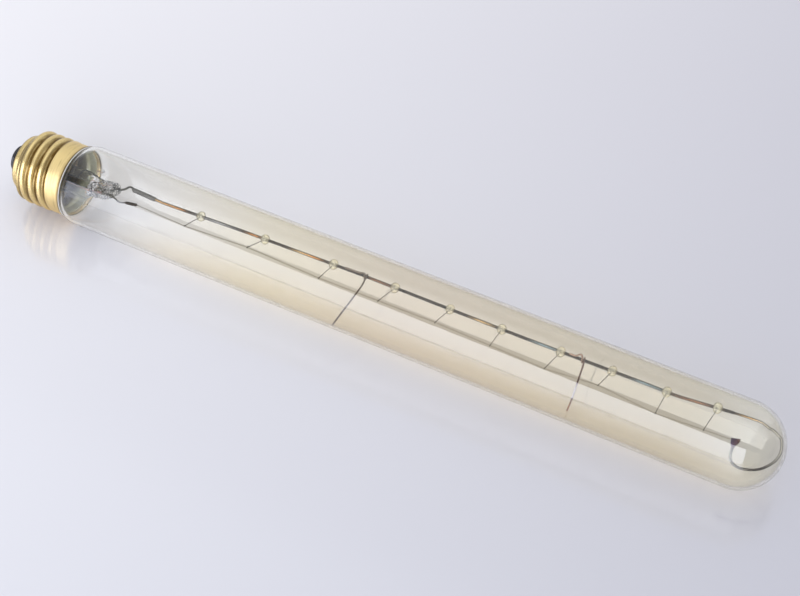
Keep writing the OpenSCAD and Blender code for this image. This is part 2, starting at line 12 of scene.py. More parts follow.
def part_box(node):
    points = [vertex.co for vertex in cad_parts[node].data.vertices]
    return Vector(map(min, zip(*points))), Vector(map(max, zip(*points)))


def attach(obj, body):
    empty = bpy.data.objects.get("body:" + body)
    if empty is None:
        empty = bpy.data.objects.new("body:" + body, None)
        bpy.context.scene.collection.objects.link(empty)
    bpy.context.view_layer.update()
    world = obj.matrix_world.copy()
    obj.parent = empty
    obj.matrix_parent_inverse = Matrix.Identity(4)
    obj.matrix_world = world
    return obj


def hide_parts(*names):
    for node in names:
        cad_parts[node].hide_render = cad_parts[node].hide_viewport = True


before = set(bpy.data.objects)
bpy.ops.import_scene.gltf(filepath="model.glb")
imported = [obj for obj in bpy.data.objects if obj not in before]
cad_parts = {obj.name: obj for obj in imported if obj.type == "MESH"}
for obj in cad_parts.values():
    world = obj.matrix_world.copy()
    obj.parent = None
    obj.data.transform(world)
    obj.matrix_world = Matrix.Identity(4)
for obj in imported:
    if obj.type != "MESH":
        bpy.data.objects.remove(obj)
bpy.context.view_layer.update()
MM = 0.001
print("CAD nodes:", len(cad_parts))

# %% [markdown]
# Nearly every piece of this lamp is a profile turned round its axis or a wire carried along a
# path. Both are grids of points, so one function turns a grid into a mesh. Modelling them by hand
# in the viewport would be slower and less exact.

# %% Grid to mesh
def placed(name, data):
    """A new object of the data, in the scene."""
    thing = bpy.data.objects.new(name, data)
    bpy.context.scene.collection.objects.link(thing)
    return thing


def piece_from_grid(name, grid, closed_along=False, poles=(None, None), run=None):
    """Mesh of a grid in mm: rows run along the piece, columns round it. A pole closes an end with a
    fan. run is a value a row for materials, the length along a wire. The enclosed volume, a sixth
    of the sum of a . (b x c) over the triangles, is positive if the faces point outwards."""
    rows, columns, _ = grid.shape
    points = grid.reshape(-1, 3)
    i = np.arange(rows if closed_along else rows - 1)[:, None]
    j = np.arange(columns)[None, :]
    k, m = (i + 1) % rows, (j + 1) % columns
    quads = np.stack([i * columns + j, k * columns + j, k * columns + m, i * columns + m], -1)
    quads = quads.reshape(-1, 4)
    fans = np.zeros((0, 3), int)
    for end, pole in enumerate(poles):
        if pole is None:
            continue
        row = (0 if end == 0 else rows - 1) * columns
        a, b = row + np.arange(columns), row + (np.arange(columns) + 1) % columns
        tip = np.full(columns, len(points))
        fans = np.vstack([fans, np.stack([tip, a, b] if end == 0 else [tip, b, a], -1)])
        points = np.vstack([points, pole])
    triangles = np.vstack([quads[:, [0, 1, 2]], quads[:, [0, 2, 3]], fans])
    a, b, c = (points[triangles[:, n]] for n in range(3))
    if np.einsum("ij,ij->", a, np.cross(b, c)) < 0:
        quads, fans = quads[:, ::-1], fans[:, ::-1]
    mesh = bpy.data.meshes.new(name)
    mesh.vertices.add(len(points))
    mesh.vertices.foreach_set("co", (points * MM).astype(np.float32).ravel())
    corners = np.concatenate([quads.ravel(), fans.ravel()]).astype(np.int32)
    sizes = np.concatenate([np.full(len(quads), 4), np.full(len(fans), 3)])
    mesh.loops.add(len(corners))
    mesh.loops.foreach_set("vertex_index", corners)
    mesh.polygons.add(len(sizes))
    mesh.polygons.foreach_set("loop_start", (np.cumsum(sizes) - sizes).astype(np.int32))
    mesh.update(calc_edges=True)
    mesh.shade_smooth()
    if run is not None:
        ends = [[run[0]], [run[-1]]][:len(points) - rows * columns]
        values = np.concatenate([np.repeat(run, columns), *ends]).astype(np.float32)
        mesh.attributes.new("run", "FLOAT", "POINT").data.foreach_set("value", values)
    return placed(name, mesh)


def dressed(piece, *nodes):
    """The piece rides on the lamp and stands for the CAD nodes."""
    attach(piece, "root")
    if nodes:
        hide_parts(*nodes)
    return piece


# %% [markdown]
# Profiles and paths are drawn with two kinds of curve: one from end points and handles, as in
# any drawing program, and one that goes through all of its points, for what a hand has bent.

# %% Curves
def curve(a, b, c, d, steps):
    """Cubic curve from a to d that leaves towards b and arrives from c."""
    t = np.linspace(0, 1, steps)[:, None]
    a, b, c, d = (np.asarray(p, float) for p in (a, b, c, d))
    return (1 - t) ** 3 * a + 3 * (1 - t) ** 2 * t * b + 3 * (1 - t) * t * t * c + t ** 3 * d


def through(points, steps):
    """Smooth curve through the points: on each span a cubic whose slope at a point is half the
    step between its two neighbours."""
    p = np.asarray(points, float)
    q = np.vstack([p[:1], p, p[-1:]])
    t = np.linspace(0, 1, steps, endpoint=False)[None, :, None]
    a, b, c, d = (q[n:len(q) - 3 + n][:, None] for n in range(4))
    spans = 0.5 * (2 * b + (c - a) * t + (2 * a - 5 * b + 4 * c - d) * t ** 2
                   + (3 * b - a - 3 * c + d) * t ** 3)
    return np.vstack([spans.reshape(-1, 3), p[-1:]])


def ease(t):
    """0 before 0, 1 after 1, and a smooth cubic step between."""
    t = np.clip(t, 0, 1)
    return t * t * (3 - 2 * t)


def unit(v):
    """Direction of a vector, or of each in a list: v over its length."""
    return v / np.linalg.norm(v, axis=-1, keepdims=True)


def run_of(path):
    """Length along the path from its first point to each of its points."""
    return np.concatenate([[0], np.cumsum(np.linalg.norm(np.diff(path, axis=0), axis=1))])


print("half way, ease gives", ease(0.5))

# %% [markdown]
# Turned pieces: a profile of (radius, x) swept round the axis. Wires: a ring carried along a
# path. Its side direction is handed on and kept square to the path, so the wire doesn't twist.

# %% Turned pieces and wires
TURN = np.radians(40.0)  # the filament mount's turn about the lamp's axis


def mounted(p):
    """Point (x, across, up) of the filament mount, turned about the lamp's axis by TURN."""
    p = np.asarray(p, float)
    c, s = np.cos(TURN), np.sin(TURN)
    return np.stack([p[..., 0], p[..., 1] * c - p[..., 2] * s, p[..., 1] * s + p[..., 2] * c], -1)


def round_axis(x, r, a):
    """Points at the radius r and the angle a round the lamp's axis: (x, r cos a, r sin a)."""
    return np.stack([x + 0 * a, r * np.cos(a), r * np.sin(a)], -1)


def full_turn(steps):
    """Angles from 0 to a whole turn, without its end."""
    return np.linspace(0, 2 * np.pi, steps, endpoint=False)


def turned(name, profile, columns=160, closed=False):
    """Profile (r, x) turned about the axis. Rows of no radius become poles."""
    r, x = np.asarray(profile, float).T
    poles = [None, None]
    if not closed:
        if r[0] == 0:
            poles[0], r, x = [x[0], 0, 0], r[1:], x[1:]
        if r[-1] == 0:
            poles[1], r, x = [x[-1], 0, 0], r[:-1], x[:-1]
    grid = round_axis(x[:, None], r[:, None], full_turn(columns)[None, :])
    return piece_from_grid(name, grid, closed, poles)


def rings(centres, radius, side, across, a):
    """Rings round the centres: centre + radius (cos a S + sin a B)."""
    a = a[None, :, None]
    return centres[:, None] + radius * (np.cos(a) * side[:, None] + np.sin(a) * across[:, None])


def wire_grid(path, radius, sides):
    """Rings round a path with rounded ends: near an end the radius shrinks as a quarter circle.
    The ring's S is carried along square to the path, and its B = path x S."""
    p = np.asarray(path, float)
    radius = np.broadcast_to(np.asarray(radius, float), len(p)).copy()
    heads = unit(p[0] - p[1]) * radius[0] * 0.6, unit(p[-1] - p[-2]) * radius[-1] * 0.6
    tips = p[0] + heads[0], p[-1] + heads[1]
    out, shrink = np.sin(np.radians([30, 60])), np.cos(np.radians([30, 60]))
    p = np.vstack([p[0] + np.outer(out[::-1], heads[0]), p, p[-1] + np.outer(out, heads[1])])
    radius = np.concatenate([radius[0] * shrink[::-1], radius, radius[-1] * shrink])
    heading = unit(np.gradient(p, axis=0))
    side = np.zeros_like(p)
    s = np.array([0.0, 0.0, 1.0] if abs(heading[0][2]) < 0.9 else [0.0, 1.0, 0.0])
    for n, h in enumerate(heading):  # one step a ring
        s = unit(s - (s @ h) * h)
        side[n] = s
    across = np.cross(heading, side)
    return rings(p, radius[:, None, None], side, across, full_turn(sides)), tips


def wire(name, node_name, path, radius, sides=16, start=0.0):
    """A wire along a path of the mount. Its run is start plus the length along the path."""
    grid, tips = wire_grid(mounted(path), radius, sides)
    run = start + run_of(grid.mean(1))
    return dressed(piece_from_grid(name, grid, False, tips, run), node_name)


print("the mount is turned by", round(float(np.degrees(TURN))), "degrees")

# %% [markdown]
# The sizes of the real lamp, read from the frame where a node gives them, so that the pieces
# land exactly on the CAD solids that they stand for.

# %% Sizes from the frame
tube_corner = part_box("envelope")[1]
OVERALL, TUBE_R = tube_corner.x / MM, tube_corner.y / MM
BASE, RIM_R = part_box("screw_shell")[1].x / MM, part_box("screw_shell")[1].y / MM
WALL, SHEET = 1.0, 0.3  # thickness of the glass and of the brass
NECK_R, SEAT_R, BAND_R = 11.2, 12.1, 12.9  # outside of neck, seat and band
DOME_X = OVERALL - TUBE_R  # where the dome begins
SEAL_X = BASE - 12.4  # where the stem is fused to the neck
STEM_END = BASE + 5.4
print("tube", round(2 * TUBE_R, 2), "mm across,", round(OVERALL, 2), "mm long")
print("base", round(BASE, 2), "mm long,", round(2 * RIM_R, 2), "mm across its rim")

# %% [markdown]
# The glass tube. Real tubing is drawn, cut, rounded in a flame at one end and pulled in at the
# other to a neck that the base covers. One closed profile, down the outside and back up the
# inside, gives a wall of real thickness, so that light bends in it as it does in the real wall.

# %% Glass envelope
def glass_side(t):
    """Neck, seat and shoulder of the glass, moved inwards by t."""
    neck, seat, lip, tube = NECK_R - t, SEAT_R - t, SEAT_R + 0.65 - t, TUBE_R - t
    return np.vstack([
        [[neck - 0.3, SEAL_X], [neck, SEAL_X + 1.2]],
        curve([neck, BASE - 5.8 - 0.2 * t], [neck, BASE - 4.6 - 0.1 * t],
              [seat, BASE - 4.6 + 0.3 * t], [seat, BASE - 3.4 + 0.3 * t], 12),
        curve([seat, BASE - 2.3 + 0.2 * t], [seat, BASE - 1.2 + 0.2 * t],
              [seat + 0.3, BASE - 1.1 + 0.3 * t], [lip, BASE - 0.3 + 0.3 * t], 10)[:-1],
        curve([lip, BASE - 0.3 + 0.3 * t], [seat + 1.2, BASE + 1.0 + 0.3 * t],
              [tube, BASE + 1.4 + 0.3 * t], [tube, BASE + 4.4 + 0.3 * t], 28)])


def straight(t, steps=5):
    """The tube's own length, moved inwards by t."""
    x = np.linspace(BASE + 5.5, DOME_X - 0.5, steps)
    return np.stack([np.full(steps, TUBE_R - t), x], -1)


def dome(t, steps=48):
    """Quarter circle from the tube to the pole on the axis, moved inwards by t."""
    a = np.linspace(0, np.pi / 2, steps)
    return np.stack([(TUBE_R - t) * np.cos(a), DOME_X + (TUBE_R - t) * np.sin(a)], -1)


outside, inside = (np.vstack([glass_side(t), straight(t), dome(t)]) for t in (0, WALL))
outside[-1, 0] = inside[-1, 0] = 0
envelope = dressed(turned("glass_tube", np.vstack([outside[::-1], inside]), 480), "envelope")
print("glass tube faces:", len(envelope.data.polygons))

# %% [markdown]
# Where the glass comes out of the base a little pale cement was wiped smooth against the rim: a
# thin ring, made as an ellipse turned round the axis.

# %% Cement fillet
a = full_turn(16)
ellipse = np.stack([RIM_R - 0.3 + 0.2 * np.cos(a), BASE + 0.02 + 0.16 * np.sin(a)], -1)
fillet = dressed(turned("cement_fillet", ellipse, 240, closed=True))
print("cement ring faces:", len(fillet.data.polygons))

# %% [markdown]
# The screw shell is thin brass sheet, rolled between two thread wheels. Its profile is two arcs,
# crest and root, that climb one pitch each turn and fade out towards the toe and the plain band.

# %% Thread
PITCH, CREST_R, ROOT_R, CREST_X = 3.62, 13.2, 12.05, 13.2
FLANGE_X, FLANGE_R, TOE_R = 4.75, 8.8, 10.1
THREAD_0, THREAD_1 = FLANGE_X + 1.9, BASE - 5.4
DEPTH = CREST_R - ROOT_R
ROUND_R = ((PITCH / 2) ** 2 + DEPTH ** 2) / (4 * DEPTH)  # radius of both arcs


def thread_radius(x, a, inset):
    """Radius of the sheet's outer face (inset 0) or inner face (inset = sheet): crest arc near
    the helix x = CREST_X + PITCH (a - TURN) / 2 pi, root arc between its turns."""
    u = (x - CREST_X - PITCH * (a - TURN) / (2 * np.pi)) / PITCH
    d = PITCH * np.abs(u - np.round(u))
    rc, rr = ROUND_R - inset, ROUND_R + inset
    crest = CREST_R - ROUND_R + np.sqrt(np.maximum(rc * rc - d * d, 0))
    root = ROOT_R + ROUND_R - np.sqrt(np.maximum(rr * rr - (PITCH / 2 - d) ** 2, 0))
    thread = np.where(d <= PITCH / 2 * rc / (2 * ROUND_R), crest, root)
    climb = ease((x - THREAD_0) / (THREAD_1 - THREAD_0))
    plain = TOE_R + 0.1 + (BAND_R - TOE_R - 0.1) * climb - inset
    share = ease((x - THREAD_0) / 2.1) * ease((THREAD_1 - x) / 2)
    return share * thread + (1 - share) * plain


print("radius of both arcs, mm:", round(ROUND_R, 3))

# %% [markdown]
# The rest of the shell is turned: a rounded toe, a plain band and a flared rim. The rows go up the
# outside, over the rim and down the inside, as one closed skin.

# %% Rolled screw shell
angle = full_turn(300)[None, :]
x_out = np.linspace(THREAD_0, THREAD_1, 108)[:, None]
x_in = np.linspace(THREAD_1, THREAD_0, 60)[:, None]
FLARE = RIM_R - BAND_R
flare_r = BAND_R + 0.4 * FLARE
toe = curve([FLANGE_X, TOE_R - 0.75], [FLANGE_X, TOE_R - 0.25], [FLANGE_X + 0.1, TOE_R],
            [FLANGE_X + 0.7, TOE_R + 0.07], 9)
band = np.vstack([
    [[x, BAND_R] for x in np.linspace(THREAD_1 + 0.4, BASE - 2.2, 5)],
    curve([BASE - 1.9, BAND_R], [BASE - 1.0, BAND_R + 0.05], [BASE - 0.8, flare_r],
          [BASE - 0.2, RIM_R - 0.03], 10),
    curve([BASE - 0.2, RIM_R - 0.03], [BASE - 0.1, RIM_R + 0.02], [BASE + 0.02, RIM_R - 0.05],
          [BASE - 0.06, RIM_R - 0.25], 5)[1:],
    curve([BASE - 0.32, RIM_R - 0.4], [BASE - 0.8, flare_r - SHEET], [BASE - 1.0, BAND_R - SHEET],
          [BASE - 2, BAND_R - SHEET], 6)])
back = np.array([[FLANGE_X + 0.7, TOE_R - SHEET], [FLANGE_X + SHEET, TOE_R - SHEET - 0.45],
                 [FLANGE_X + SHEET, FLANGE_R], [FLANGE_X, FLANGE_R]])
skin = [(toe[:, :1], toe[:, 1:]), (x_out, thread_radius(x_out, angle, 0)),
        (band[:, :1], band[:, 1:]), (x_in, thread_radius(x_in, angle, SHEET)),
        (back[:, :1], back[:, 1:])]
grid = np.vstack([round_axis(x, r, angle) for x, r in skin])
shell = dressed(piece_from_grid("brass_screw_shell", grid, True), "screw_shell")
print("shell triangles:", 2 * len(shell.data.polygons))

# %% [markdown]
# The insulator is pressed black glass with a fire polished shoulder; the centre contact is a
# brass eyelet filled with a button of solder. All are plain turned profiles with soft corners.

# %% Insulator and contact
NOSE, FACE = 0.9, 0.4  # where the glass nose and the contact's face lie
black = np.vstack([
    [[1.5, NOSE], [4.11, NOSE], [4.11, 0.25]],
    curve([4.2, 0.25], [4.8, 0.25], [4.9, 0.32], [4.9, 0.6], 8),
    curve([4.9, 1.15], [5, 1.9], [7.4, FLANGE_X - 1.55], [8.78, FLANGE_X - 0.2], 24),
    [[8.78, FLANGE_X + SHEET], [9.3, FLANGE_X + SHEET], [9.3, FLANGE_X + 0.9],
     [7.9, FLANGE_X + 0.9], [3.6, 3.1], [2.6, 3.5], [1.5, 3.5]]])
insulator = dressed(turned("black_glass_insulator", black, closed=True), "insulator")
plate = np.vstack([[[1.1, FACE], [2.5, FACE]],
                   curve([3.95, FACE], [4.06, 0.42], [4.1, 0.46], [4.1, 0.6], 6),
                   [[4.1, NOSE], [1.5, NOSE], [1.5, 3.2], [1.1, 3.2]]])
contact = dressed(turned("brass_centre_contact", plate, 128, closed=True), "contact_plate")
button = np.vstack([[[0, 0]], curve([1.9, 0.0], [2.2, 0.02], [2.38, 0.16], [2.4, FACE], 8),
                    [[1.1, FACE], [1.1, 2.3], [0, 2.3]]])
solder = dressed(turned("contact_solder_button", button, 96), "contact_solder")
print("contact faces:", len(contact.data.polygons), "solder faces:", len(solder.data.polygons))

# %% [markdown]
# The stem: a glass trumpet fused to the neck, a tube, and a leaning end that was squeezed flat
# over the wires. One loft makes it all: each row is a rounded box with its own two half widths.

# %% Directions of the pinch
LEAN, LEAN_TURN, PINCH_TURN = np.radians([11.8, 56, -60])
pinch_o = np.array([STEM_END - 1.5, 0, 0])
pinch_d = round_axis(np.cos(LEAN), np.sin(LEAN), LEAN_TURN)
width_0 = round_axis(0, 1, PINCH_TURN)
pinch_w = unit(width_0 - (width_0 @ pinch_d) * pinch_d)


def pinch_at(x, y):
    """Point in the middle plane of the pinch: origin + x D + y W."""
    return pinch_o + x * pinch_d + y * pinch_w


def loft(name, centres, wide_dirs, thin_dirs, half_w, half_t, boxy, marks, poles):
    """Rows of rounded boxes: centre + w |cos a|^(2/n) W + t |sin a|^(2/n) T with their signs. Marks
    move the surface out or in."""
    a = full_turn(marks.shape[1])[None, :]
    n = 2.0 / boxy[:, None]
    u = np.sign(np.cos(a)) * np.abs(np.cos(a)) ** n * half_w[:, None]
    v = np.sign(np.sin(a)) * np.abs(np.sin(a)) ** n * half_t[:, None]
    u, v = u + 0.4 * marks * np.sign(u) * (np.abs(u) > 0.2), v + marks * np.sign(v)
    grid = centres[:, None] + u[..., None] * wide_dirs[:, None] + v[..., None] * thin_dirs[:, None]
    return piece_from_grid(name, mounted(grid), False, poles)


print("the pinch leans by", round(float(np.degrees(LEAN)), 1), "degrees")

# %% [markdown]
# Tool marks from the pinch jaws are waves in the last rows, which give the pinch its glitter. The
# random numbers are fixed, so the lamp is the same each time.

# %% Squeezed end
TUBE_HALF, PINCH_W, PINCH_T = 5, 4.5, 2.1  # half width of the stem's tube and of the pinch
HOT_ROWS, SIDES = 60, 96
s = np.linspace(0, 1, HOT_ROWS)
squeeze = ease(s / 0.42)
ahead = (STEM_END - 3.4 + s * 14.1 - pinch_o[0])[:, None]
line = pinch_o + ahead * np.where(ahead > 0, pinch_d, [1.0, 0, 0])
end = np.sqrt(np.clip(1 - np.clip((s - 0.8) / 0.2, 0, 1) ** 2, 0, 1))
half_w, half_t = (TUBE_HALF * (1 - squeeze) + half * squeeze for half in (PINCH_W, PINCH_T))
half_w = half_w * (0.35 + 0.65 * end) * np.clip(end * 3, 0, 1)
half_t = half_t * np.clip(end * 1.15, 0, 1)
rng = np.random.default_rng(7)
a = full_turn(SIDES)[None, :]
s = s[:, None]
marks = np.zeros((HOT_ROWS, SIDES))
for _ in range(7):
    wave = np.sin(a * rng.integers(2, 12) + rng.uniform(0, 6))
    marks = marks + 0.1 * wave * np.sin(s * rng.uniform(18, 60) + rng.uniform(0, 6))
marks = marks * ease((s - 0.2) / 0.2) * ease((1 - s) / 0.06)
print("deepest tool mark, mm:", round(float(np.abs(marks).max()), 2))

# %% [markdown]
# The whole stem: the hollow bore and the trumpet as round rows, then the squeezed rows.

# %% Glass stem
bore = np.vstack([
    curve([3.1, STEM_END], [3.7, STEM_END], [4.1, STEM_END - 0.6], [4.1, STEM_END - 2.4], 8),
    curve([4.1, SEAL_X + 9], [4.3, SEAL_X + 4], [5.3, SEAL_X - 0.2],
          [NECK_R - 1.3, SEAL_X - 0.9], 14)])
trumpet = np.vstack([
    [[NECK_R - 0.3, SEAL_X - 0.9], [NECK_R - 0.32, SEAL_X - 0.02], [NECK_R - 1.3, SEAL_X]],
    curve([NECK_R - 1.6, SEAL_X + 0.1], [6, SEAL_X + 0.6], [5.2, SEAL_X + 4], [5, SEAL_X + 9], 16),
    [[TUBE_HALF, x] for x in np.linspace(SEAL_X + 10, STEM_END - 4, 5)]])
round_r, round_x = np.vstack([bore, trumpet]).T
rows = len(round_r)


def then(first, second):
    """One direction for each round row, another for each row of the squeezed end."""
    return np.vstack([np.tile(first, (rows, 1)), np.tile(second, (HOT_ROWS - 1, 1))])


stem = loft("glass_stem", np.vstack([np.column_stack([round_x, np.zeros((rows, 2))]), line[:-1]]),
            then(width_0, pinch_w),
            then(np.cross([1.0, 0, 0], width_0), np.cross(pinch_d, pinch_w)),
            np.concatenate([round_r, half_w[:-1]]), np.concatenate([round_r, half_t[:-1]]),
            np.concatenate([np.full(rows, 2.0), 2 + 1.6 * squeeze[:-1]]),
            np.vstack([np.zeros((rows, SIDES)), marks[:-1]]),
            (mounted([STEM_END, 0, 0]), mounted(line[-1])))
dressed(stem, "stem_flare")
print("stem faces:", len(stem.data.polygons))

# %% [markdown]
# The long rod carries everything in the tube. It was set by hand, so it has slight bends. In the
# dome a thinner wire goes on in a loop, back to the clamp. One wire runs along both.

# %% Rod and loop
ROD_R, LOOP_R, ROD_UP, HOOK_UP = 0.525, 0.4, -3.84, 5.76  # radii, and heights in the mount
SLEEVE_LEN = 9.1
rod_a = np.array([STEM_END + 13.4, 4.44, ROD_UP])
rod_b = np.array([DOME_X - 5.8, 8.26, ROD_UP])
FREE_X = rod_a[0] + SLEEVE_LEN


def share_x(share):
    """x at a share of the way from the sleeve's end to the dome."""
    return FREE_X + np.asarray(share) * (DOME_X - FREE_X)


bends = [[share_x(share), across, ROD_UP] for share, across in
         ((0.016, 3.96), (0.166, 5.07), (0.371, 5.95), (0.642, 6.14), (0.843, 6.72), (0.891, 6.72))]
rod_line = np.vstack([rod_a, bends, rod_b])
rod_d = unit(rod_line[1] - rod_line[0])


def on_rod(x):
    """Point of the rod's middle line at x."""
    return np.stack([np.interp(x, rod_line[:, 0], rod_line[:, n]) for n in range(3)], -1)


clamp_c = np.array([DOME_X - 0.7, 0, HOOK_UP])
loop_end = clamp_c + [-0.1, -0.4, -0.42]
loop = np.array([
    [-2.69, 8.49, -3.74], [0.96, 8.64, -3.36], [3.26, 8.64, -2.88], [4.99, 8.26, -2.4],
    [6.53, 7.78, -1.92], [7.68, 7.68, -1.44], [9.22, 7.01, -0.96], [10.75, 6.24, -0.48],
    [11.62, 5.18, 0], [12.38, 2.4, 0.48], [12.1, -0.29, 1.25], [11.04, -2.4, 1.92],
    [9.02, -4.61, 2.69], [6.72, -5.95, 3.26], [4.03, -6.72, 3.74], [2.02, -6.72, 4.22],
    [0.19, -5.86, 4.8], [-0.58, -4.32, 5.18]]) + [DOME_X, 0, 0]
start = rod_a + 4.4 * rod_d
rod_path = on_rod(np.linspace(start[0], rod_b[0], 90))
loop_path = through(np.vstack([rod_b, loop, loop_end - [0, 2, 0], loop_end]), 8)[1:]
path = np.vstack([rod_path, loop_path])
thinner = np.maximum(LOOP_R, ROD_R - 0.05 * np.arange(1, len(loop_path) + 1))
radius = np.concatenate([np.full(len(rod_path), ROD_R), thinner])
rod = wire("support_rod_and_loop", "support_rod", path, radius, 24, start[0])
print("the rod's run ends at, mm:", round(start[0] + run_of(path)[-1], 1))

# %% [markdown]
# Inner leads come out of the pinch, and crimped sleeves join one to the long rod and the other
# to the filament. In the pinch each is a copper clad wire, which swells with heat as glass does
# and so stays tight. A lead is a curve through points: the pinch, its bends, the sleeve.

# %% Leads and sleeves
fil_a = np.array([rod_a[0] + 4.1, -0.67, HOOK_UP])
fil_b = np.array([rod_a[0] + 8.1, -0.1, HOOK_UP])
fil_d = unit(fil_b - fil_a)


def lead(side, sleeve, d, hand_bends, depths):
    """Path of a lead: out of the pinch, through bends measured from the sleeve, and on to some
    depths in the sleeve."""
    out = [pinch_at(x, side) for x in (8.3, 11.4, 12)]
    return through(np.vstack([out, sleeve + hand_bends, sleeve + np.outer(depths, d)]), 10)


LEAD_SIDE = 2.8
long_lead = lead(LEAD_SIDE, rod_a, rod_d,
                 [[-2.1, -0.86, 2.4], [-1.45, 0.4, 1.15], [-0.6, 0.48, 0.2]], [-0.3, 0.6, 4])
short_lead = lead(-LEAD_SIDE, fil_a, fil_d,
                  [[-5.2, 0, -0.96], [-3.1, -0.62, -0.48], [-1.15, -0.38, -0.1]], [-0.3, 0.5, 2])
wire("long_inner_lead", "inner_lead_long", long_lead, 0.38)
wire("short_inner_lead", "inner_lead_short", short_lead, 0.27)
for n, side in ((1, LEAD_SIDE), (2, -LEAD_SIDE)):
    seal = np.linspace(pinch_at(3.1, side), pinch_at(8.3, side), 12)
    wire(f"copper_seal_wire_{n}", f"dumet_seal_{n}", seal, 0.25, 12)


def crimped(name, node_name, a, d, length, r, teeth, depth):
    """A sleeve along a -> a + length d: a bar drawn in at its ends, whose radius drops by depth at
    each tooth of the crimping tool."""
    t = np.linspace(0, 1, 90)
    press = depth * np.maximum(np.sin(t * teeth * 2 * np.pi), 0) ** 2
    press = press * ease(t / 0.08) * ease((1 - t) / 0.08)
    drawn_in = 0.08 * (1 - ease(t / 0.03) * ease((1 - t) / 0.03))
    wire(name, node_name, a + t[:, None] * length * d, r - press - drawn_in, 28)


fil_len = np.linalg.norm(fil_b - fil_a)
crimped("rod_crimp_sleeve", "rod_sleeve", rod_a, rod_d, SLEEVE_LEN, 0.845, 9, 0.1)
crimped("filament_crimp_sleeve", "filament_sleeve", fil_a, fil_d, fil_len, 0.54, 3, 0.08)
print("leads, mm:", round(run_of(long_lead)[-1], 1), "and", round(run_of(short_lead)[-1], 1))

# %% [markdown]
# Two steady wires hold the rod off the glass. Each lies along the rod, makes one turn round it
# and reaches out to the wall, so its path is a few points, a helix and a few points more.

# %% Steady wires
STEADY_R = 0.29
BESIDE = ROD_R + STEADY_R + 0.03
WALL_R = TUBE_R - WALL - 0.15


def beside_rod(x, angle, w=BESIDE):
    """Point at distance w from the rod, at an angle in degrees round it."""
    return on_rod(x) + round_axis(0, w, np.radians(angle))


def steady(n, share, lift, tail, tip_angle, tip_shift, leg):
    """Steady wire n at a share of the rod: a tail beside it, a bend lifted off it, a turn round it
    and a leg through points to the wall at an angle."""
    c = float(share_x(share))
    tip = round_axis(c + tip_shift, WALL_R, np.radians(tip_angle))
    lead_in = beside_rod(c - np.linspace(tail, 2.6, 6), np.full(6, 60.0))
    rise = np.vstack([beside_rod(c - x, a, BESIDE + lift * h) for x, a, h in
                      ((2.2, 60, 0), (1.6, 50, 0.6), (1, 35, 1), (0.45, 33, 0.7), (0.12, 45, 0))])
    turn_a = np.arange(60, 441, 12.0)
    turn = beside_rod(c - 0.1 + 0.85 * (turn_a - 45) / 405, turn_a)
    leg = np.vstack([beside_rod(c + 0.75, 450), np.array(leg) + [c, 0, 0], tip])
    path = np.vstack([lead_in, through(rise, 5), turn, through(leg, 12)])
    wire(f"steady_wire_{n}", f"steady_spring_{n}", path, STEADY_R)
    print("steady wire", n, "is", round(run_of(path)[-1], 1), "mm long")


steady(1, 0.38, 0.05, 7.3, 162.2, -1.45,
       [[0.95, 4.6, -2.1], [1.15, 2.8, -1.15], [0.75, -0.9, 0.4], [-0.4, -7.1, 2.3]])
steady(2, 0.7425, 0.9, 4.4, 215, 0.5,
       [[0.95, 5.5, -3.15], [0.95, 2, -4.2], [0.85, -1.2, -5.2], [0.75, -6.9, -6.7]])

# %% [markdown]
# Ten glass beads were melted onto the rod by hand. A bead is a torus-like roll with a few soft
# dents, since no two beads of melted glass are the same.

# %% Shape of a bead
BEADS = [0.086, 0.203, 0.325, 0.432, 0.526, 0.612, 0.708, 0.790, 0.875, 0.951]
BEAD_R, BEAD_HALF = 1.8, 1.45  # radius and half length


def bead_grid(c, d, n):
    """Bead n at the point c of the rod: a circle turned round the rod's direction d, with dents in
    sines of both angles. What would lie inside the rod is left out."""
    side = unit(np.array([0, 0, 1.0]) - d[2] * d)
    up = np.cross(d, side)
    a, b = full_turn(48)[None, :], full_turn(40)[:, None]
    dents = (1 + 0.035 * np.sin(2 * a + 1.9 * n) + 0.025 * np.sin(3 * a + b + 2.7 * n)
             + 0.02 * np.sin(2 * b + n))
    r = np.maximum(BEAD_R - BEAD_HALF + BEAD_HALF * np.cos(b) * dents, ROD_R + 0.004)[..., None]
    along = (BEAD_HALF * np.sin(b) * (1 + 0.04 * np.sin(a + n)))[..., None]
    a = a[..., None]
    grid = c + along * d + r * np.cos(a) * side + r * np.sin(a) * up
    keep = (BEAD_R - BEAD_HALF + BEAD_HALF * np.cos(b[:, 0])) > ROD_R - 0.3
    first_left_out = -int(np.argmin(keep))
    return np.roll(grid, first_left_out, 0)[np.roll(keep, first_left_out)]


print("one bead is", 2 * BEAD_R, "mm across and", 2 * BEAD_HALF, "mm long")

# %% [markdown]
# Each bead holds the foot of a fine hook, whose eye goes nearly once round the filament. So the
# coil can stretch when it is hot and still hangs in place. Each bead is made with its hook.

# %% Beads with their hooks
HOOK_ACROSS = [-0.67, 0.46, -0.27, -0.03, 0.26, -0.15, -0.57, 0.74, -0.82, -0.02]
HOOK_LEAN = [0.2, -0.75, 0.65, -0.4, -0.1, 1.05, -0.55, -0.5, 0.8, -0.1]
HOOK_R, EYE_R = 0.125, 0.34
eyes = np.array([[share_x(share) + lean, across, HOOK_UP] for share, across, lean in
                 zip(BEADS, HOOK_ACROSS, HOOK_LEAN)])


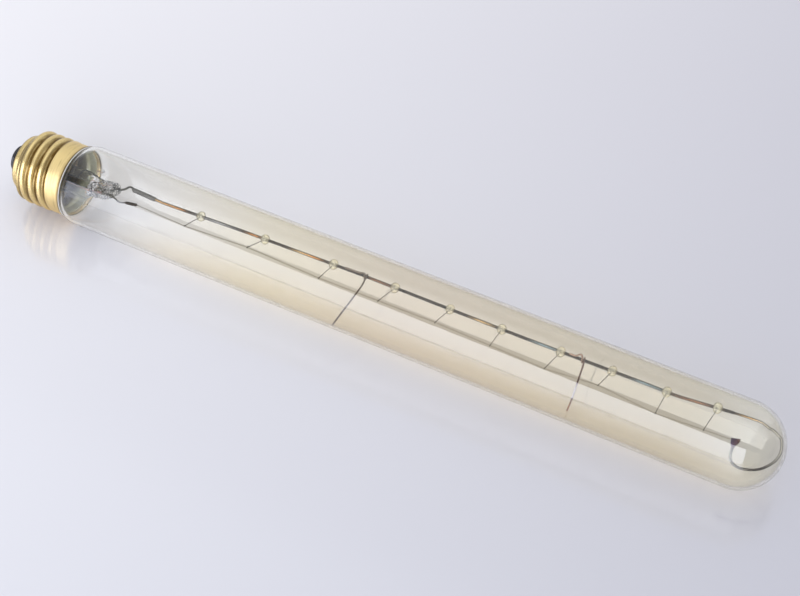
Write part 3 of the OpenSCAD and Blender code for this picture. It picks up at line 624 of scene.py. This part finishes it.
def hook_path(c, eye):
    """From inside the bead at c straight to the eye, and round it as a circle of EYE_R."""
    v = unit(eye - c)
    foot = c + (ROD_R + 0.3) * v
    sideways = unit(np.cross([1.0, 0, 0], v))
    out = np.cross(sideways, [1.0, 0, 0])
    a = np.radians(np.arange(0, 320, 16))[:, None]
    ring = eye + EYE_R * (np.sin(a) * sideways - np.cos(a) * out) + (a / 5.6 - 0.5) * [0.3, 0, 0]
    return np.vstack([np.linspace(foot, eye - 1.3 * EYE_R * v, 8), ring])


beads, hooks = [], []
for n, share in enumerate(BEADS):
    middle = on_rod(share_x(share))
    grid = bead_grid(middle, unit(on_rod(share_x(share) + 1) - middle), n)
    bead = piece_from_grid(f"glass_bead_{n + 1:02d}", mounted(grid), True)
    beads.append(dressed(bead, f"bead_{n + 1:02d}"))
    path = hook_path(middle, eyes[n])
    hooks.append(wire(f"hook_{n + 1:02d}", f"anchor_{n + 1:02d}", path, HOOK_R, 10))
print("beads:", len(beads), "hooks:", len(hooks))

# %% [markdown]
# The filament is one very long coil of fine wire. Its helix is a circle of 0.14 mm radius carried
# along the line through the ten eyes, one turn every 0.16 mm.

# %% Coiled filament
COIL_R, STRAND_R, COIL_PITCH, STEPS_A_TURN = 0.14, 0.03, 0.16, 9
clamp_in, clamp_out = clamp_c + [-1.45, 0.3, 0.4], clamp_c + [1.8, 0.85, 0.4]
line = np.vstack([fil_a + 2.6 * fil_d, fil_b + 0.4 * fil_d, eyes, clamp_in, clamp_out])
steps = run_of(line)
turns = steps[-1] / COIL_PITCH
t = np.linspace(0, steps[-1], int(turns * STEPS_A_TURN))
core = np.stack([np.interp(t, steps, line[:, k]) for k in range(3)], -1)
outwards = round_axis(0, 1, 2 * np.pi * t / COIL_PITCH)
coil = core + COIL_R * outwards
heading = unit(np.gradient(coil, axis=0))
outwards = unit(outwards - np.einsum("ij,ij->i", outwards, heading)[:, None] * heading)
across = np.cross(heading, outwards)
strand = rings(coil, STRAND_R, outwards, across, np.radians([45, 135, 225, 315]))
ends = mounted(coil[0]), mounted(coil[-1])
filament = dressed(piece_from_grid("coiled_filament", mounted(strand), False, ends), "filament")
print("filament turns:", int(turns), "triangles:", 2 * len(filament.data.polygons))

# %% [markdown]
# The clamp is sheet folded over the ends of the loop and the filament. Its outline has seven
# corners; each layer is the outline shrunk a little towards its middle.

# %% Clamp
CLAMP_HALF = 0.9
outline = np.array([[-1.35, 0.77], [1.25, 1.45], [1.25, 0.1], [0.6, -0.95], [0.43, -1.68],
                    [-0.62, -1.68], [-1.05, -0.6]])
edge = np.concatenate([np.linspace(p, q, 6, endpoint=False)
                       for p, q in zip(outline, np.roll(outline, -1, 0))])
middle = edge.mean(0)
layers = [(0.0, 0.86), (0.08, 0.95), (0.25, 1.0), (0.7, 1.0), (0.84, 0.97), (0.96, 0.97),
          (1.1, 1.0), (1.55, 1.0), (1.72, 0.95), (1.8, 0.86)]  # (height, size)
grid = clamp_c + np.stack([
    np.column_stack([middle + (edge - middle) * size, np.full(len(edge), h - CLAMP_HALF)])
    for h, size in layers])
ends = [mounted(clamp_c + [*middle, h]) for h in (-CLAMP_HALF, CLAMP_HALF)]
dressed(piece_from_grid("end_clamp_fold", mounted(grid), False, ends), "end_clamp")
print("clamp corners:", len(outline))

# %% [markdown]
# Finishes. Each material is a small net of nodes, so its pattern has a real size on every side.
# These helpers keep the nets short: they make a node, set its values and link its inputs.

# %% Node helpers
def material(name):
    """A new material, its node tree and its Principled shader."""
    m = bpy.data.materials.new(name)
    m.use_nodes = True
    return m, m.node_tree, m.node_tree.nodes["Principled BSDF"]


def feed(socket, value):
    """Links an output to the input, or sets a plain number, vector or colour there."""
    if isinstance(value, bpy.types.NodeSocket):
        socket.id_data.links.new(value, socket)
    else:
        socket.default_value = (*value, 1) if socket.type == "RGBA" else value


def set_values(n, **values):
    """Feeds a node: a name with a capital is an input, any other is the node's own setting."""
    for key, value in values.items():
        if key[0].isupper():
            feed(n.inputs[key.replace("_", " ")], value)
        else:
            setattr(n, key, value)
    return n


def node(tree, kind, **values):
    """A new node of a kind, with its values set."""
    return set_values(tree.nodes.new(kind), **values)


def place(tree):
    """Where on the lamp the point is, in metres: the Object coordinates."""
    return tree.nodes.new("ShaderNodeTexCoord").outputs["Object"]


def axes(tree):
    """The same place as three numbers: along the lamp, across it and up."""
    return node(tree, "ShaderNodeSeparateXYZ", Vector=place(tree)).outputs


def math(operation, a, b=0.0, c=0.0):
    """One sum, such as a times b plus c. a is an output, and its tree is where the node goes."""
    n = node(a.id_data, "ShaderNodeMath", operation=operation)
    for socket, value in zip(n.inputs, (a, b, c)):
        feed(socket, value)
    return n.outputs[0]


def fade(value, low, high, start=0.0, end=1.0, smooth=True):
    """From start at low to end at high, by a smooth step or a straight line, and level beyond."""
    way = "SMOOTHSTEP" if smooth else "LINEAR"
    return node(value.id_data, "ShaderNodeMapRange", interpolation_type=way, Value=value,
                From_Min=low, From_Max=high, To_Min=start, To_Max=end).outputs[0]


print("materials before the finishes:", len(bpy.data.materials))

# %% [markdown]
# Helpers for colour and pattern: mixing, a ramp of colours, noise, and a bump that tilts the
# light without moving the surface.

# %% Colour and pattern helpers
def blend(factor, a, b, mode="MIX"):
    """Colour mix; a and b are outputs or plain colours, factor an output or a number."""
    tree = next(v.id_data for v in (factor, a, b) if isinstance(v, bpy.types.NodeSocket))
    n = node(tree, "ShaderNodeMix", data_type="RGBA", blend_type=mode)
    for socket, value in ((0, factor), (6, a), (7, b)):
        feed(n.inputs[socket], value)
    return n.outputs[2]


def times(a, b):
    """Product of two colours, as when light goes through both."""
    return blend(1.0, a, b, "MULTIPLY")


def ramp(factor, stops):
    """Colour ramp of (place, colour) stops."""
    n = factor.id_data.nodes.new("ShaderNodeValToRGB")
    elements = n.color_ramp.elements
    while len(elements) < len(stops):
        elements.new(0.5)
    for element, (where, colour) in zip(elements, stops):
        element.position, element.color = where, (*colour, 1)
    feed(n.inputs[0], factor)
    return n.outputs[0]


def ramp_along(x, stops, unit_of_x=1.0):
    """Colour at x from (mm, colour) stops: the ramp's factor is (x - first) / (last - first)."""
    first, last = stops[0][0], stops[-1][0]
    share = fade(x, first * unit_of_x, last * unit_of_x, smooth=False)
    return ramp(share, [((mm - first) / (last - first), colour) for mm, colour in stops])


def noise(tree, scale, detail=2.0, stretch=None):
    """Noise of a scale; stretch below 1 draws it out along that axis."""
    where = place(tree)
    if stretch:
        where = node(tree, "ShaderNodeMapping", Vector=where, Scale=stretch).outputs[0]
    return node(tree, "ShaderNodeTexNoise", Scale=scale, Detail=detail, Vector=where).outputs["Fac"]


def slant(tree, low, high):
    """0 where the surface is seen square on, 1 where it is seen edge on."""
    facing = node(tree, "ShaderNodeLayerWeight", Blend=0.5)
    return fade(facing.outputs["Facing"], low, high)


def bumped(shader, height, distance):
    """Bump from a height mask whose full height is the distance in metres."""
    n = node(shader.id_data, "ShaderNodeBump", Strength=1.0, Distance=distance, Height=height)
    set_values(shader, Normal=n.outputs[0])


def finish_of(piece, m):
    """Gives the piece one material."""
    piece.data.materials.clear()
    piece.data.materials.append(m)


print("helpers for colour, noise and bump are ready")

# %% [markdown]
# Every metal has the same fine wear: small blotches, and hair scratches drawn out along the lamp.
# One shared group gives them, in the size that a material asks for.

# %% Shared group: fine wear
wear = bpy.data.node_groups.new("fine wear", "ShaderNodeTree")
for way, names in (("INPUT", ("Place", "Blotch size", "Scratch size")),
                   ("OUTPUT", ("Blotches", "Scratches"))):
    for name in names:
        kind = "NodeSocketVector" if name == "Place" else "NodeSocketFloat"
        wear.interface.new_socket(name, in_out=way, socket_type=kind)
where, blotch_size, scratch_size = wear.nodes.new("NodeGroupInput").outputs[:3]
hair = node(wear, "ShaderNodeMapping", Vector=where, Scale=(1, 14, 14)).outputs[0]
blotch = node(wear, "ShaderNodeTexNoise", Vector=where, Scale=blotch_size, Detail=5.0,
              Roughness=0.6)
scratch = node(wear, "ShaderNodeTexNoise", Vector=hair, Scale=scratch_size, Detail=3.0,
               Roughness=0.7)
node(wear, "NodeGroupOutput", Blotches=blotch.outputs["Fac"], Scratches=scratch.outputs["Fac"])


def worn(tree, blotch_size, scratch_size):
    """The wear group in a material; gives its two masks."""
    n = node(tree, "ShaderNodeGroup", node_tree=wear, Place=place(tree), Blotch_size=blotch_size,
             Scratch_size=scratch_size)
    return n.outputs[0], n.outputs[1]


print("wear group nodes:", len(wear.nodes))

# %% [markdown]
# Glass. A Principled shader with full transmission bends light; for rays from lamps and for
# scattered light a Transparent shader stands in, so that they reach what is inside and beneath.
# The first piece is the sealed pumping tube in the stem.

# %% Glass
def clear_glass(name, tint, lamp_tint, roughness=0.0, ior=1.5, weight=1.0):
    """Glass of a plain tint, or of tint outputs made by functions of the node tree."""
    m, tree, shader = material(name)
    tint, lamp_tint = (t(tree) if callable(t) else t for t in (tint, lamp_tint))
    set_values(shader, Base_Color=tint, Transmission_Weight=weight, Roughness=roughness, IOR=ior)
    for_lamps = node(tree, "ShaderNodeBsdfTransparent", Color=lamp_tint)
    rays = tree.nodes.new("ShaderNodeLightPath").outputs
    soft = math("MAXIMUM", rays["Is Shadow Ray"], rays["Is Diffuse Ray"])
    mix = tree.nodes.new("ShaderNodeMixShader")
    for socket, output in zip(mix.inputs, (soft, shader.outputs[0], for_lamps.outputs[0])):
        feed(socket, output)
    set_values(tree.nodes["Material Output"], Surface=mix.outputs[0])
    return m, tree, shader


pump_glass, tree, shader = clear_glass("exhaust tube glass", (0.97, 0.975, 0.97),
                                       (0.98, 0.98, 0.98), ior=1.3)
bumped(shader, noise(tree, 200.0), 0.00002)
finish_of(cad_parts["exhaust_tube"], pump_glass)
print("glass made:", pump_glass.name)

# %% [markdown]
# Amber lustre. The tube is clear beside the base, takes its amber coat a little further on, and
# has less of it in the dome. Where the wall is seen edge on, the coat is crossed at a slant, so
# its colour deepens. The drawn tubing has faint ripples along its length.

# %% Tube glass
CLEAR = (0.985, 0.985, 0.98)
COAT = [(46, (0.965, 0.96, 0.935)), (75, (0.955, 0.935, 0.875)), (110, (0.943, 0.908, 0.8)),
        (160, (0.912, 0.862, 0.762)), (210, (0.91, 0.864, 0.752)), (258, (0.91, 0.872, 0.765)),
        (282, (0.95, 0.935, 0.86))]


def amber(stops, edge=None):
    """Coat along the tube: stops are (x in mm, colour), with faint cloudiness. Seen at a slant it
    is coat x coat x edge, and beyond that a painted shade darkens it further at the tube's outline."""
    def coat_of(tree):
        """The coat as an output of one material's tree."""
        x = math("MULTIPLY_ADD", noise(tree, 30.0), 8 * MM, axes(tree)[0])
        share = math("DIVIDE", x, OVERALL * MM)
        coat = ramp(share, [(where / OVERALL, colour) for where, colour in stops])
        if edge is None:
            return coat
        colour = blend(slant(tree, 0.42, 0.75), coat, times(times(coat, coat), edge))
        # Painted shade: the colour is darkened where the wall is seen nearly edge on, at the tube's
        # outline.
        return blend(slant(tree, 0.7, 0.82), colour, times(colour, (0.84, 0.84, 0.84)))
    return coat_of


tube_glass, tree, shader = clear_glass(
    "amber tube glass", amber(COAT, (0.94, 0.93, 0.92)),
    amber([(46, CLEAR), (110, (0.985, 0.975, 0.945))]), ior=1.44)
lustre = fade(axes(tree)[0], 60 * MM, 180 * MM, 0.0, 0.42)
set_values(shader, Coat_Weight=lustre, Coat_Roughness=0.0)
bumped(shader, noise(tree, 60.0, 0.0, (0.12, 1, 1)), 0.000008)
finish_of(envelope, tube_glass)
print("coat stops along the tube:", len(COAT))

# %% [markdown]
# The squeezed end of the stem is full of folds and chill marks that catch the light like crystal. A
# cell pattern draws the folds, and only there, each as a dark line of painted shade.

# %% Stem glass
def hot_end(tree, value):
    """The value in the squeezed end of the stem, nothing in its trumpet and tube."""
    hot = fade(axes(tree)[0], (STEM_END - 0.5) * MM, (STEM_END + 2) * MM)
    return math("MULTIPLY", hot, value)


def folds(tree, scale):
    """Distance to the nearest fold of the squeezed glass."""
    return node(tree, "ShaderNodeTexVoronoi", feature="DISTANCE_TO_EDGE", Scale=scale,
                Vector=place(tree)).outputs["Distance"]


def stem_tint(tree):
    """Clear at the trumpet; in the squeezed end each fold is a dark line of painted shade."""
    lines = ramp(folds(tree, 430.0),
                 [(0.02, (0, 0, 0)), (0.06, (0.7, 0.7, 0.68)), (0.1, (1, 1, 1))])
    return blend(hot_end(tree, 1.0), (0.985, 0.985, 0.985), lines)


stem_glass, tree, shader = clear_glass("stem glass", stem_tint, (0.98, 0.98, 0.98), ior=1.14)
frosted = ramp(noise(tree, 900.0, 1.0), [(0.5, (0, 0, 0)), (0.58, (1, 1, 1))])
set_values(shader, Roughness=hot_end(tree, math("MULTIPLY", frosted, 0.6)))
bumped(shader, hot_end(tree, folds(tree, 800.0)), 0.0008)
finish_of(stem, stem_glass)
print("stem glass nodes:", len(tree.nodes))

# %% [markdown]
# The beads are milky glass: part of the light scatters in them, and their rims are painted darker,
# as painted shade.

# %% Bead glass
def bead_tint(tree):
    """Pale straw seen square on, with painted shade dark at the rims."""
    return blend(slant(tree, 0.3, 0.75), (0.94, 0.91, 0.76), (0.17, 0.13, 0.06))


bead_glass, tree, shader = clear_glass("bead glass", bead_tint, (0.97, 0.95, 0.88), 0.02, 1.52,
                                       0.85)
bumped(shader, noise(tree, 1100.0, 3.0), 0.0003)
for bead in beads:
    finish_of(bead, bead_glass)
print("bead glass on", len(beads), "beads")

# %% [markdown]
# Brass: pale and worn on the crests, browner in the grooves and in a thin ring at the rim's lip,
# where the brown is painted shade.
# The distance from the axis tells crest from groove. Fine lines from the rolling go round it.

# %% Brass
def surface(shader, colour, metal, rough, height, distance):
    """Gives the shader its colour, metallic, roughness and bump."""
    set_values(shader, Base_Color=colour, Metallic=metal, Roughness=rough)
    bumped(shader, height, distance)


def brass(name, pale, brown, low, high, rough):
    """Brown where the radius, the root of y^2 + z^2, is low (mm), pale where it is high, moved by
    lines and blotches. The brown in the shell's grooves and at the rim's lip is painted shade."""
    m, tree, shader = material(name)
    x, y, z = axes(tree)
    squares = math("ADD", math("POWER", y, 2.0), math("POWER", z, 2.0))
    # The brown where the radius is low is painted shade in the grooves; the toe is kept pale.
    height = fade(math("SQRT", squares), low * MM, high * MM, smooth=False)
    toe = math("MULTIPLY", fade(x, 10.5 * MM, 7.5 * MM), 0.8)
    # Painted shade: a thin dark ring just inside the rim's lip.
    lip = math("MULTIPLY", fade(x, (BASE - 0.75) * MM, (BASE - 0.35) * MM), 0.8)
    shade_and_wear_mix = math("SUBTRACT", math("MAXIMUM", height, toe), lip)
    lines = noise(tree, 1900.0, 3.0, (1, 0.06, 0.06))
    shade_and_wear_mix = math("MULTIPLY_ADD", lines, 1.4, math("SUBTRACT", shade_and_wear_mix, 0.7))
    blotches, scratches = worn(tree, 260.0, 420.0)
    shade_and_wear_mix = math("ADD", shade_and_wear_mix, math("MULTIPLY_ADD", blotches, 0.7, -0.35))
    band = fade(x, (BASE - 7) * MM, (BASE - 5) * MM, rough - 0.08, rough + 0.1, smooth=False)
    surface(shader, blend(shade_and_wear_mix, brown, pale), 1.0,
            math("MULTIPLY_ADD", scratches, 0.16, band), scratches, 0.00003)
    return m


finish_of(shell, brass("lacquered brass", (0.81, 0.62, 0.285), (0.13, 0.072, 0.016), 12, 12.85,
                       0.27))
finish_of(contact, brass("contact brass", (0.84, 0.68, 0.36), (0.7, 0.52, 0.25), 1, 4, 0.3))
print("brass on", shell.name, "and", contact.name)

# %% [markdown]
# The insulator's black glass is nearly a mirror, with faint cloudy patches from the mould.

# %% Black glass
black_glass, tree, shader = material("black pressed glass")
blotches = worn(tree, 300.0, 300.0)[0]
set_values(shader, Base_Color=blend(blotches, (0.006, 0.006, 0.008), (0.02, 0.02, 0.024)),
           Roughness=math("MULTIPLY_ADD", blotches, 0.12, 0.06))
finish_of(insulator, black_glass)
print("black glass on", insulator.name)

# %% [markdown]
# Heat tints. A heated steel wire shows straw, brown, purple and blue in turn. A ramp along the wire
# sets them where the lamp shows them, noise breaks the edges, and the bright rod's rims are painted
# dark, a painted reflection of what is beside it.

# %% Wire finishes
STEEL, STRAW, ORANGE = (0.8, 0.77, 0.7), (0.72, 0.52, 0.27), (0.72, 0.33, 0.1)
BROWN, BLUE, DARK = (0.32, 0.16, 0.09), (0.26, 0.36, 0.42), (0.034, 0.025, 0.017)
GREY, PALE, LILAC = (0.3, 0.29, 0.26), (0.4, 0.41, 0.42), (0.46, 0.44, 0.54)


def tinted_wire(name, tints, metal, rough, grain=1200.0, by_run=False, rims=False):
    """Metal whose colour follows x along the lamp, or the wire's own run: tints are (mm, colour),
    moved up to 2 mm by blotches."""
    m, tree, shader = material(name)
    if by_run:
        where = node(tree, "ShaderNodeAttribute", attribute_name="run").outputs["Fac"]
    else:
        where = math("MULTIPLY", axes(tree)[0], 1 / MM)
    blotches, scratches = worn(tree, grain, grain)
    moved = math("MULTIPLY_ADD", blotches, 4.0, math("ADD", where, -2.0))
    colour = ramp_along(moved, tints)
    colour = blend(scratches, colour, blend(0.5, colour, DARK))
    if rims:
        # Painted reflection: the colour goes dark where the wire is seen edge on.
        colour = blend(slant(tree, 0.04, 0.34), colour, DARK)
    surface(shader, colour, metal, math("MULTIPLY_ADD", scratches, 0.2, rough - 0.1),
            scratches, 0.00002)
    return m


finish_of(rod, tinted_wire("heat tinted rod", [
    (46, GREY), (54, STRAW), (65, ORANGE), (69, DARK), (82, PALE), (91, DARK), (96, ORANGE),
    (99, DARK), (109, DARK), (114, STRAW), (119, ORANGE), (123, DARK), (138, DARK), (144, BROWN),
    (150, DARK), (177, DARK), (182, STRAW), (187, DARK), (198, DARK), (204, BLUE), (211, DARK),
    (234, DARK), (239, BLUE), (247, DARK), (257, BROWN), (262, DARK), (269, DARK),
    (274, (0.62, 0.41, 0.2)), (281, STEEL), (290, STEEL), (299, DARK), (309, GREY)],
    1.0, 0.22, by_run=True, rims=True))
print("the rod's finish is", rod.active_material.name)

# %% [markdown]
# The other wires and small metal pieces use the same function with fewer tints, so a table of
# them is enough: nickel, crimped steel, tungsten, copper and solder.

# %% Finishes of the small pieces
DULL, COPPER = (0.1, 0.09, 0.075), (0.7, 0.33, 0.18)
SMALL = [  # finish, tints, metallic, roughness, other settings, pieces
    ("nickel lead", [(20, GREY), (46, (0.1, 0.095, 0.08)), (60, (0.2, 0.19, 0.17))], 1.0, 0.3, {},
     ["long_inner_lead", "short_inner_lead"]),
    ("copper clad seal wire", [(30, (0.5, 0.33, 0.28)), (45, (0.45, 0.3, 0.27))], 0.8, 0.4, {},
     ["copper_seal_wire_1", "copper_seal_wire_2"]),
    ("crimped sleeve steel", [(40, (0.13, 0.125, 0.11)), (60, (0.12, 0.115, 0.1))], 0.7, 0.5,
     {"grain": 1500.0}, ["rod_crimp_sleeve"]),
    ("dark crimped sleeve", [(40, DARK), (60, DARK)], 0.7, 0.5, {"grain": 2600.0},
     ["filament_crimp_sleeve"]),
    ("dark steady wire", [(0, (0.2, 0.16, 0.13)), (40, (0.16, 0.12, 0.1))], 0.9, 0.4,
     {"by_run": True}, ["steady_wire_1"]),
    # On the second steady wire the lilac stops are painted reflection of the tube's bright band
    # over the wire, not a heat tint.
    ("steady wire", [
        (0, (0.42, 0.28, 0.22)), (9, (0.36, 0.24, 0.18)), (12, (0.14, 0.07, 0.05)),
        (19, (0.07, 0.03, 0.025)), (21, LILAC), (24, LILAC), (25.5, (0.08, 0.04, 0.03)),
        (27, BROWN), (40, BROWN)], 0.9, 0.35, {"by_run": True}, ["steady_wire_2"]),
    ("hook wire", [(60, DULL), (280, DULL)], 0.9, 0.45, {}, [hook.name for hook in hooks]),
    ("tungsten coil", [(50, (0.28, 0.23, 0.16)), (280, (0.24, 0.19, 0.12))], 0.5, 0.5, {},
     ["coiled_filament"]),
    ("clamp sheet", [(271, (0.05, 0.04, 0.1)), (273, (0.07, 0.04, 0.07)), (275, (0.25, 0.1, 0.04))],
     0.9, 0.4, {}, ["end_clamp_fold"]),
    ("soft solder", [(0, (0.72, 0.72, 0.73)), (30, (0.8, 0.8, 0.81))], 0.7, 0.4, {"grain": 700.0},
     ["contact_solder_button", "rim_solder"]),
    ("outer lead copper", [(0, COPPER), (40, COPPER)], 1.0, 0.35, {},
     ["outer_lead_contact", "outer_lead_shell"])]
for name, tints, metal, rough, more, pieces in SMALL:
    finish = tinted_wire(name, tints, metal, rough, **more)
    for piece in pieces:
        finish_of(bpy.data.objects[piece], finish)
print("small finishes:", len(SMALL))

# %% [markdown]
# Two cements. What was wiped along the rim is pale and dull. The basing cement, seen through the
# glass, is painted darker the deeper it lies in the base: painted shade.

# %% Cements
def set_cement(name, dark, light, metal, rough, depth=None):
    """Cement in blotches from dark to light, times a ramp of (mm, colour) stops along the base."""
    m, tree, shader = material(name)
    blotches, scratches = worn(tree, 500.0, 200.0)
    colour = blend(blotches, dark, light)
    if depth:
        colour = times(colour, ramp_along(axes(tree)[0], depth, MM))
    surface(shader, colour, metal, math("MULTIPLY_ADD", scratches, 0.2, rough - 0.1),
            blotches, 0.00005)
    return m


finish_of(fillet, set_cement("wiped cement", (0.6, 0.57, 0.5), (0.85, 0.83, 0.78), 0.0, 0.5))
# The depth ramp is painted shade: dark deep in the base, pale at its rim.
finish_of(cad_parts["basing_cement"], set_cement(
    "basing cement", (0.72, 0.72, 0.56), (0.98, 0.97, 0.8), 0.35, 0.25,
    [(BASE - 12, (0.06, 0.04, 0.02)), (BASE - 7, (0.2, 0.15, 0.09)), (BASE - 4, (0.7, 0.69, 0.56)),
     (BASE, (1, 1, 0.95))]))
print("materials in all:", len(bpy.data.materials))

# %% [markdown]
# The table is pale and a little glossy, and its colour is painted darker across it, a painted
# fall-off of light as beside a window.
# The tube gathers light under itself like a long lens, so a soft stripe there is brighter.

# %% Table
FLOOR_Z, FLOOR_HALF = -TUBE_R * MM - 0.00005, 4.0
corners = [(x * FLOOR_HALF, y * FLOOR_HALF, FLOOR_Z)
           for x, y in ((-1, -1), (1, -1), (1, 1), (-1, 1))]
floor_mesh = bpy.data.meshes.new("table")
floor_mesh.from_pydata(corners, [], [(0, 1, 2, 3)])
floor = placed("table", floor_mesh)
table, tree, shader = material("pale glossy table")
x, y, _ = axes(tree)


def fall(direction, middle, first, last):
    """Colour from first to last over 0.4 m of table: x dx + y dy, times 2.5, plus the middle."""
    way = math("ADD", math("MULTIPLY", x, direction[0]), math("MULTIPLY", y, direction[1]))
    return ramp(math("MULTIPLY_ADD", way, 2.5, middle), [(0.0, first), (1.0, last)])


# Painted shade: the two falls darken the table away from the light.
side_fall = fall((0.878, 0.479), 0.125, (0.91, 0.872, 0.862), (0.612, 0.583, 0.621))
front_fall = fall((0.479, -0.878), 0.375, (1, 1, 1), (0.72, 0.735, 0.757))
plain = times(side_fall, front_fall)
# Painted light: a brighter stripe along the tube, where it gathers light onto the table.
STRIPE_Y, STRIPE_WIDTH = -4 * MM, 7 * MM
off = math("MULTIPLY_ADD", y, 1 / STRIPE_WIDTH, -STRIPE_Y / STRIPE_WIDTH)
stripe = math("EXPONENT", math("MULTIPLY", math("MULTIPLY", off, off), -1.0))
both_ends = math("MULTIPLY", fade(x, 35 * MM, 70 * MM), fade(x, 292 * MM, 270 * MM))
stripe = math("MULTIPLY", stripe, both_ends)
lit = times(plain, (1.2, 1.15, 1.06))
set_values(shader, Base_Color=blend(stripe, plain, lit), Roughness=0.35, Coat_Weight=1.0,
           Coat_Roughness=0.13, Coat_IOR=1.85)
finish_of(floor, table)
print("table at, mm:", round(FLOOR_Z / MM, 2))

# %% [markdown]
# Light. The tube is a mirror for the lamps: it shows a bright band from one side, a softer one
# from the other, and between them a gap where the camera stands, the narrow strip along the
# tube's middle. Long area lamps do that.

# %% Lamps and world
LAMP_AWAY, LAMP_X, LAMP_LEN = 1.0, -0.15, 1.9  # metres


def posed(where, x_axis, y_axis, z_axis):
    """Place and turn of a lamp or camera, from the directions of its own three axes."""
    return Matrix.Translation(where) @ Matrix((x_axis, y_axis, z_axis)).transposed().to_4x4()


def soft_box(name, low, high, radiance, colour=(0.95, 1, 1.06)):
    """Area lamp from the angle low to high (degrees from +Y over +Z) round the part's axis: the
    chord of a circle of radius LAMP_AWAY."""
    mid, half = np.radians((low + high) / 2), np.radians((high - low) / 2)
    data = bpy.data.lights.new(name, "AREA")
    data.shape = "RECTANGLE"
    data.size, data.size_y = LAMP_LEN, 2 * LAMP_AWAY * np.sin(half)
    data.energy = radiance * np.pi * data.size * data.size_y
    data.color = colour
    lamp = placed(name, data)
    along_x, out = Vector((1, 0, 0)), Vector((0, np.cos(mid), np.sin(mid)))
    where = Vector((LAMP_X, 0, 0)) + float(LAMP_AWAY * np.cos(half)) * out
    lamp.matrix_world = posed(where, along_x, out.cross(along_x), out)
    lamp.visible_camera = False


soft_box("far wall", 1, 62, 0.45)
soft_box("ceiling", 62, 122, 0.7)
soft_box("front soft box", 138, 180, 2.72, (0.97, 1.03, 1.23))
world = bpy.data.worlds.new("studio")
bpy.context.scene.world = world
world.use_nodes = True
set_values(world.node_tree.nodes["Background"], Color=(0.84, 0.85, 0.89), Strength=0.5)
print("lamps:", len(bpy.data.lights))

# %% [markdown]
# The camera looks down on the table at the photograph's angle, from about 0.6 metres away.

# %% Camera
camera_data = bpy.data.cameras.new("camera")
camera_data.lens, camera_data.sensor_width = 82.0, 36.0
camera_data.clip_start, camera_data.clip_end = 0.01, 20
camera = placed("camera", camera_data)
backwards = Vector((0.3312, -0.6072, 0.7222)).normalized()
right = Vector((0, 0, 1)).cross(backwards).normalized()
camera.matrix_world = posed((0.35185, -0.36103, 0.43470), right, backwards.cross(right), backwards)
bpy.context.scene.camera = camera
bpy.context.scene.view_settings.view_transform = "Standard"
print("camera height, m:", round(camera.matrix_world.translation.z, 3))
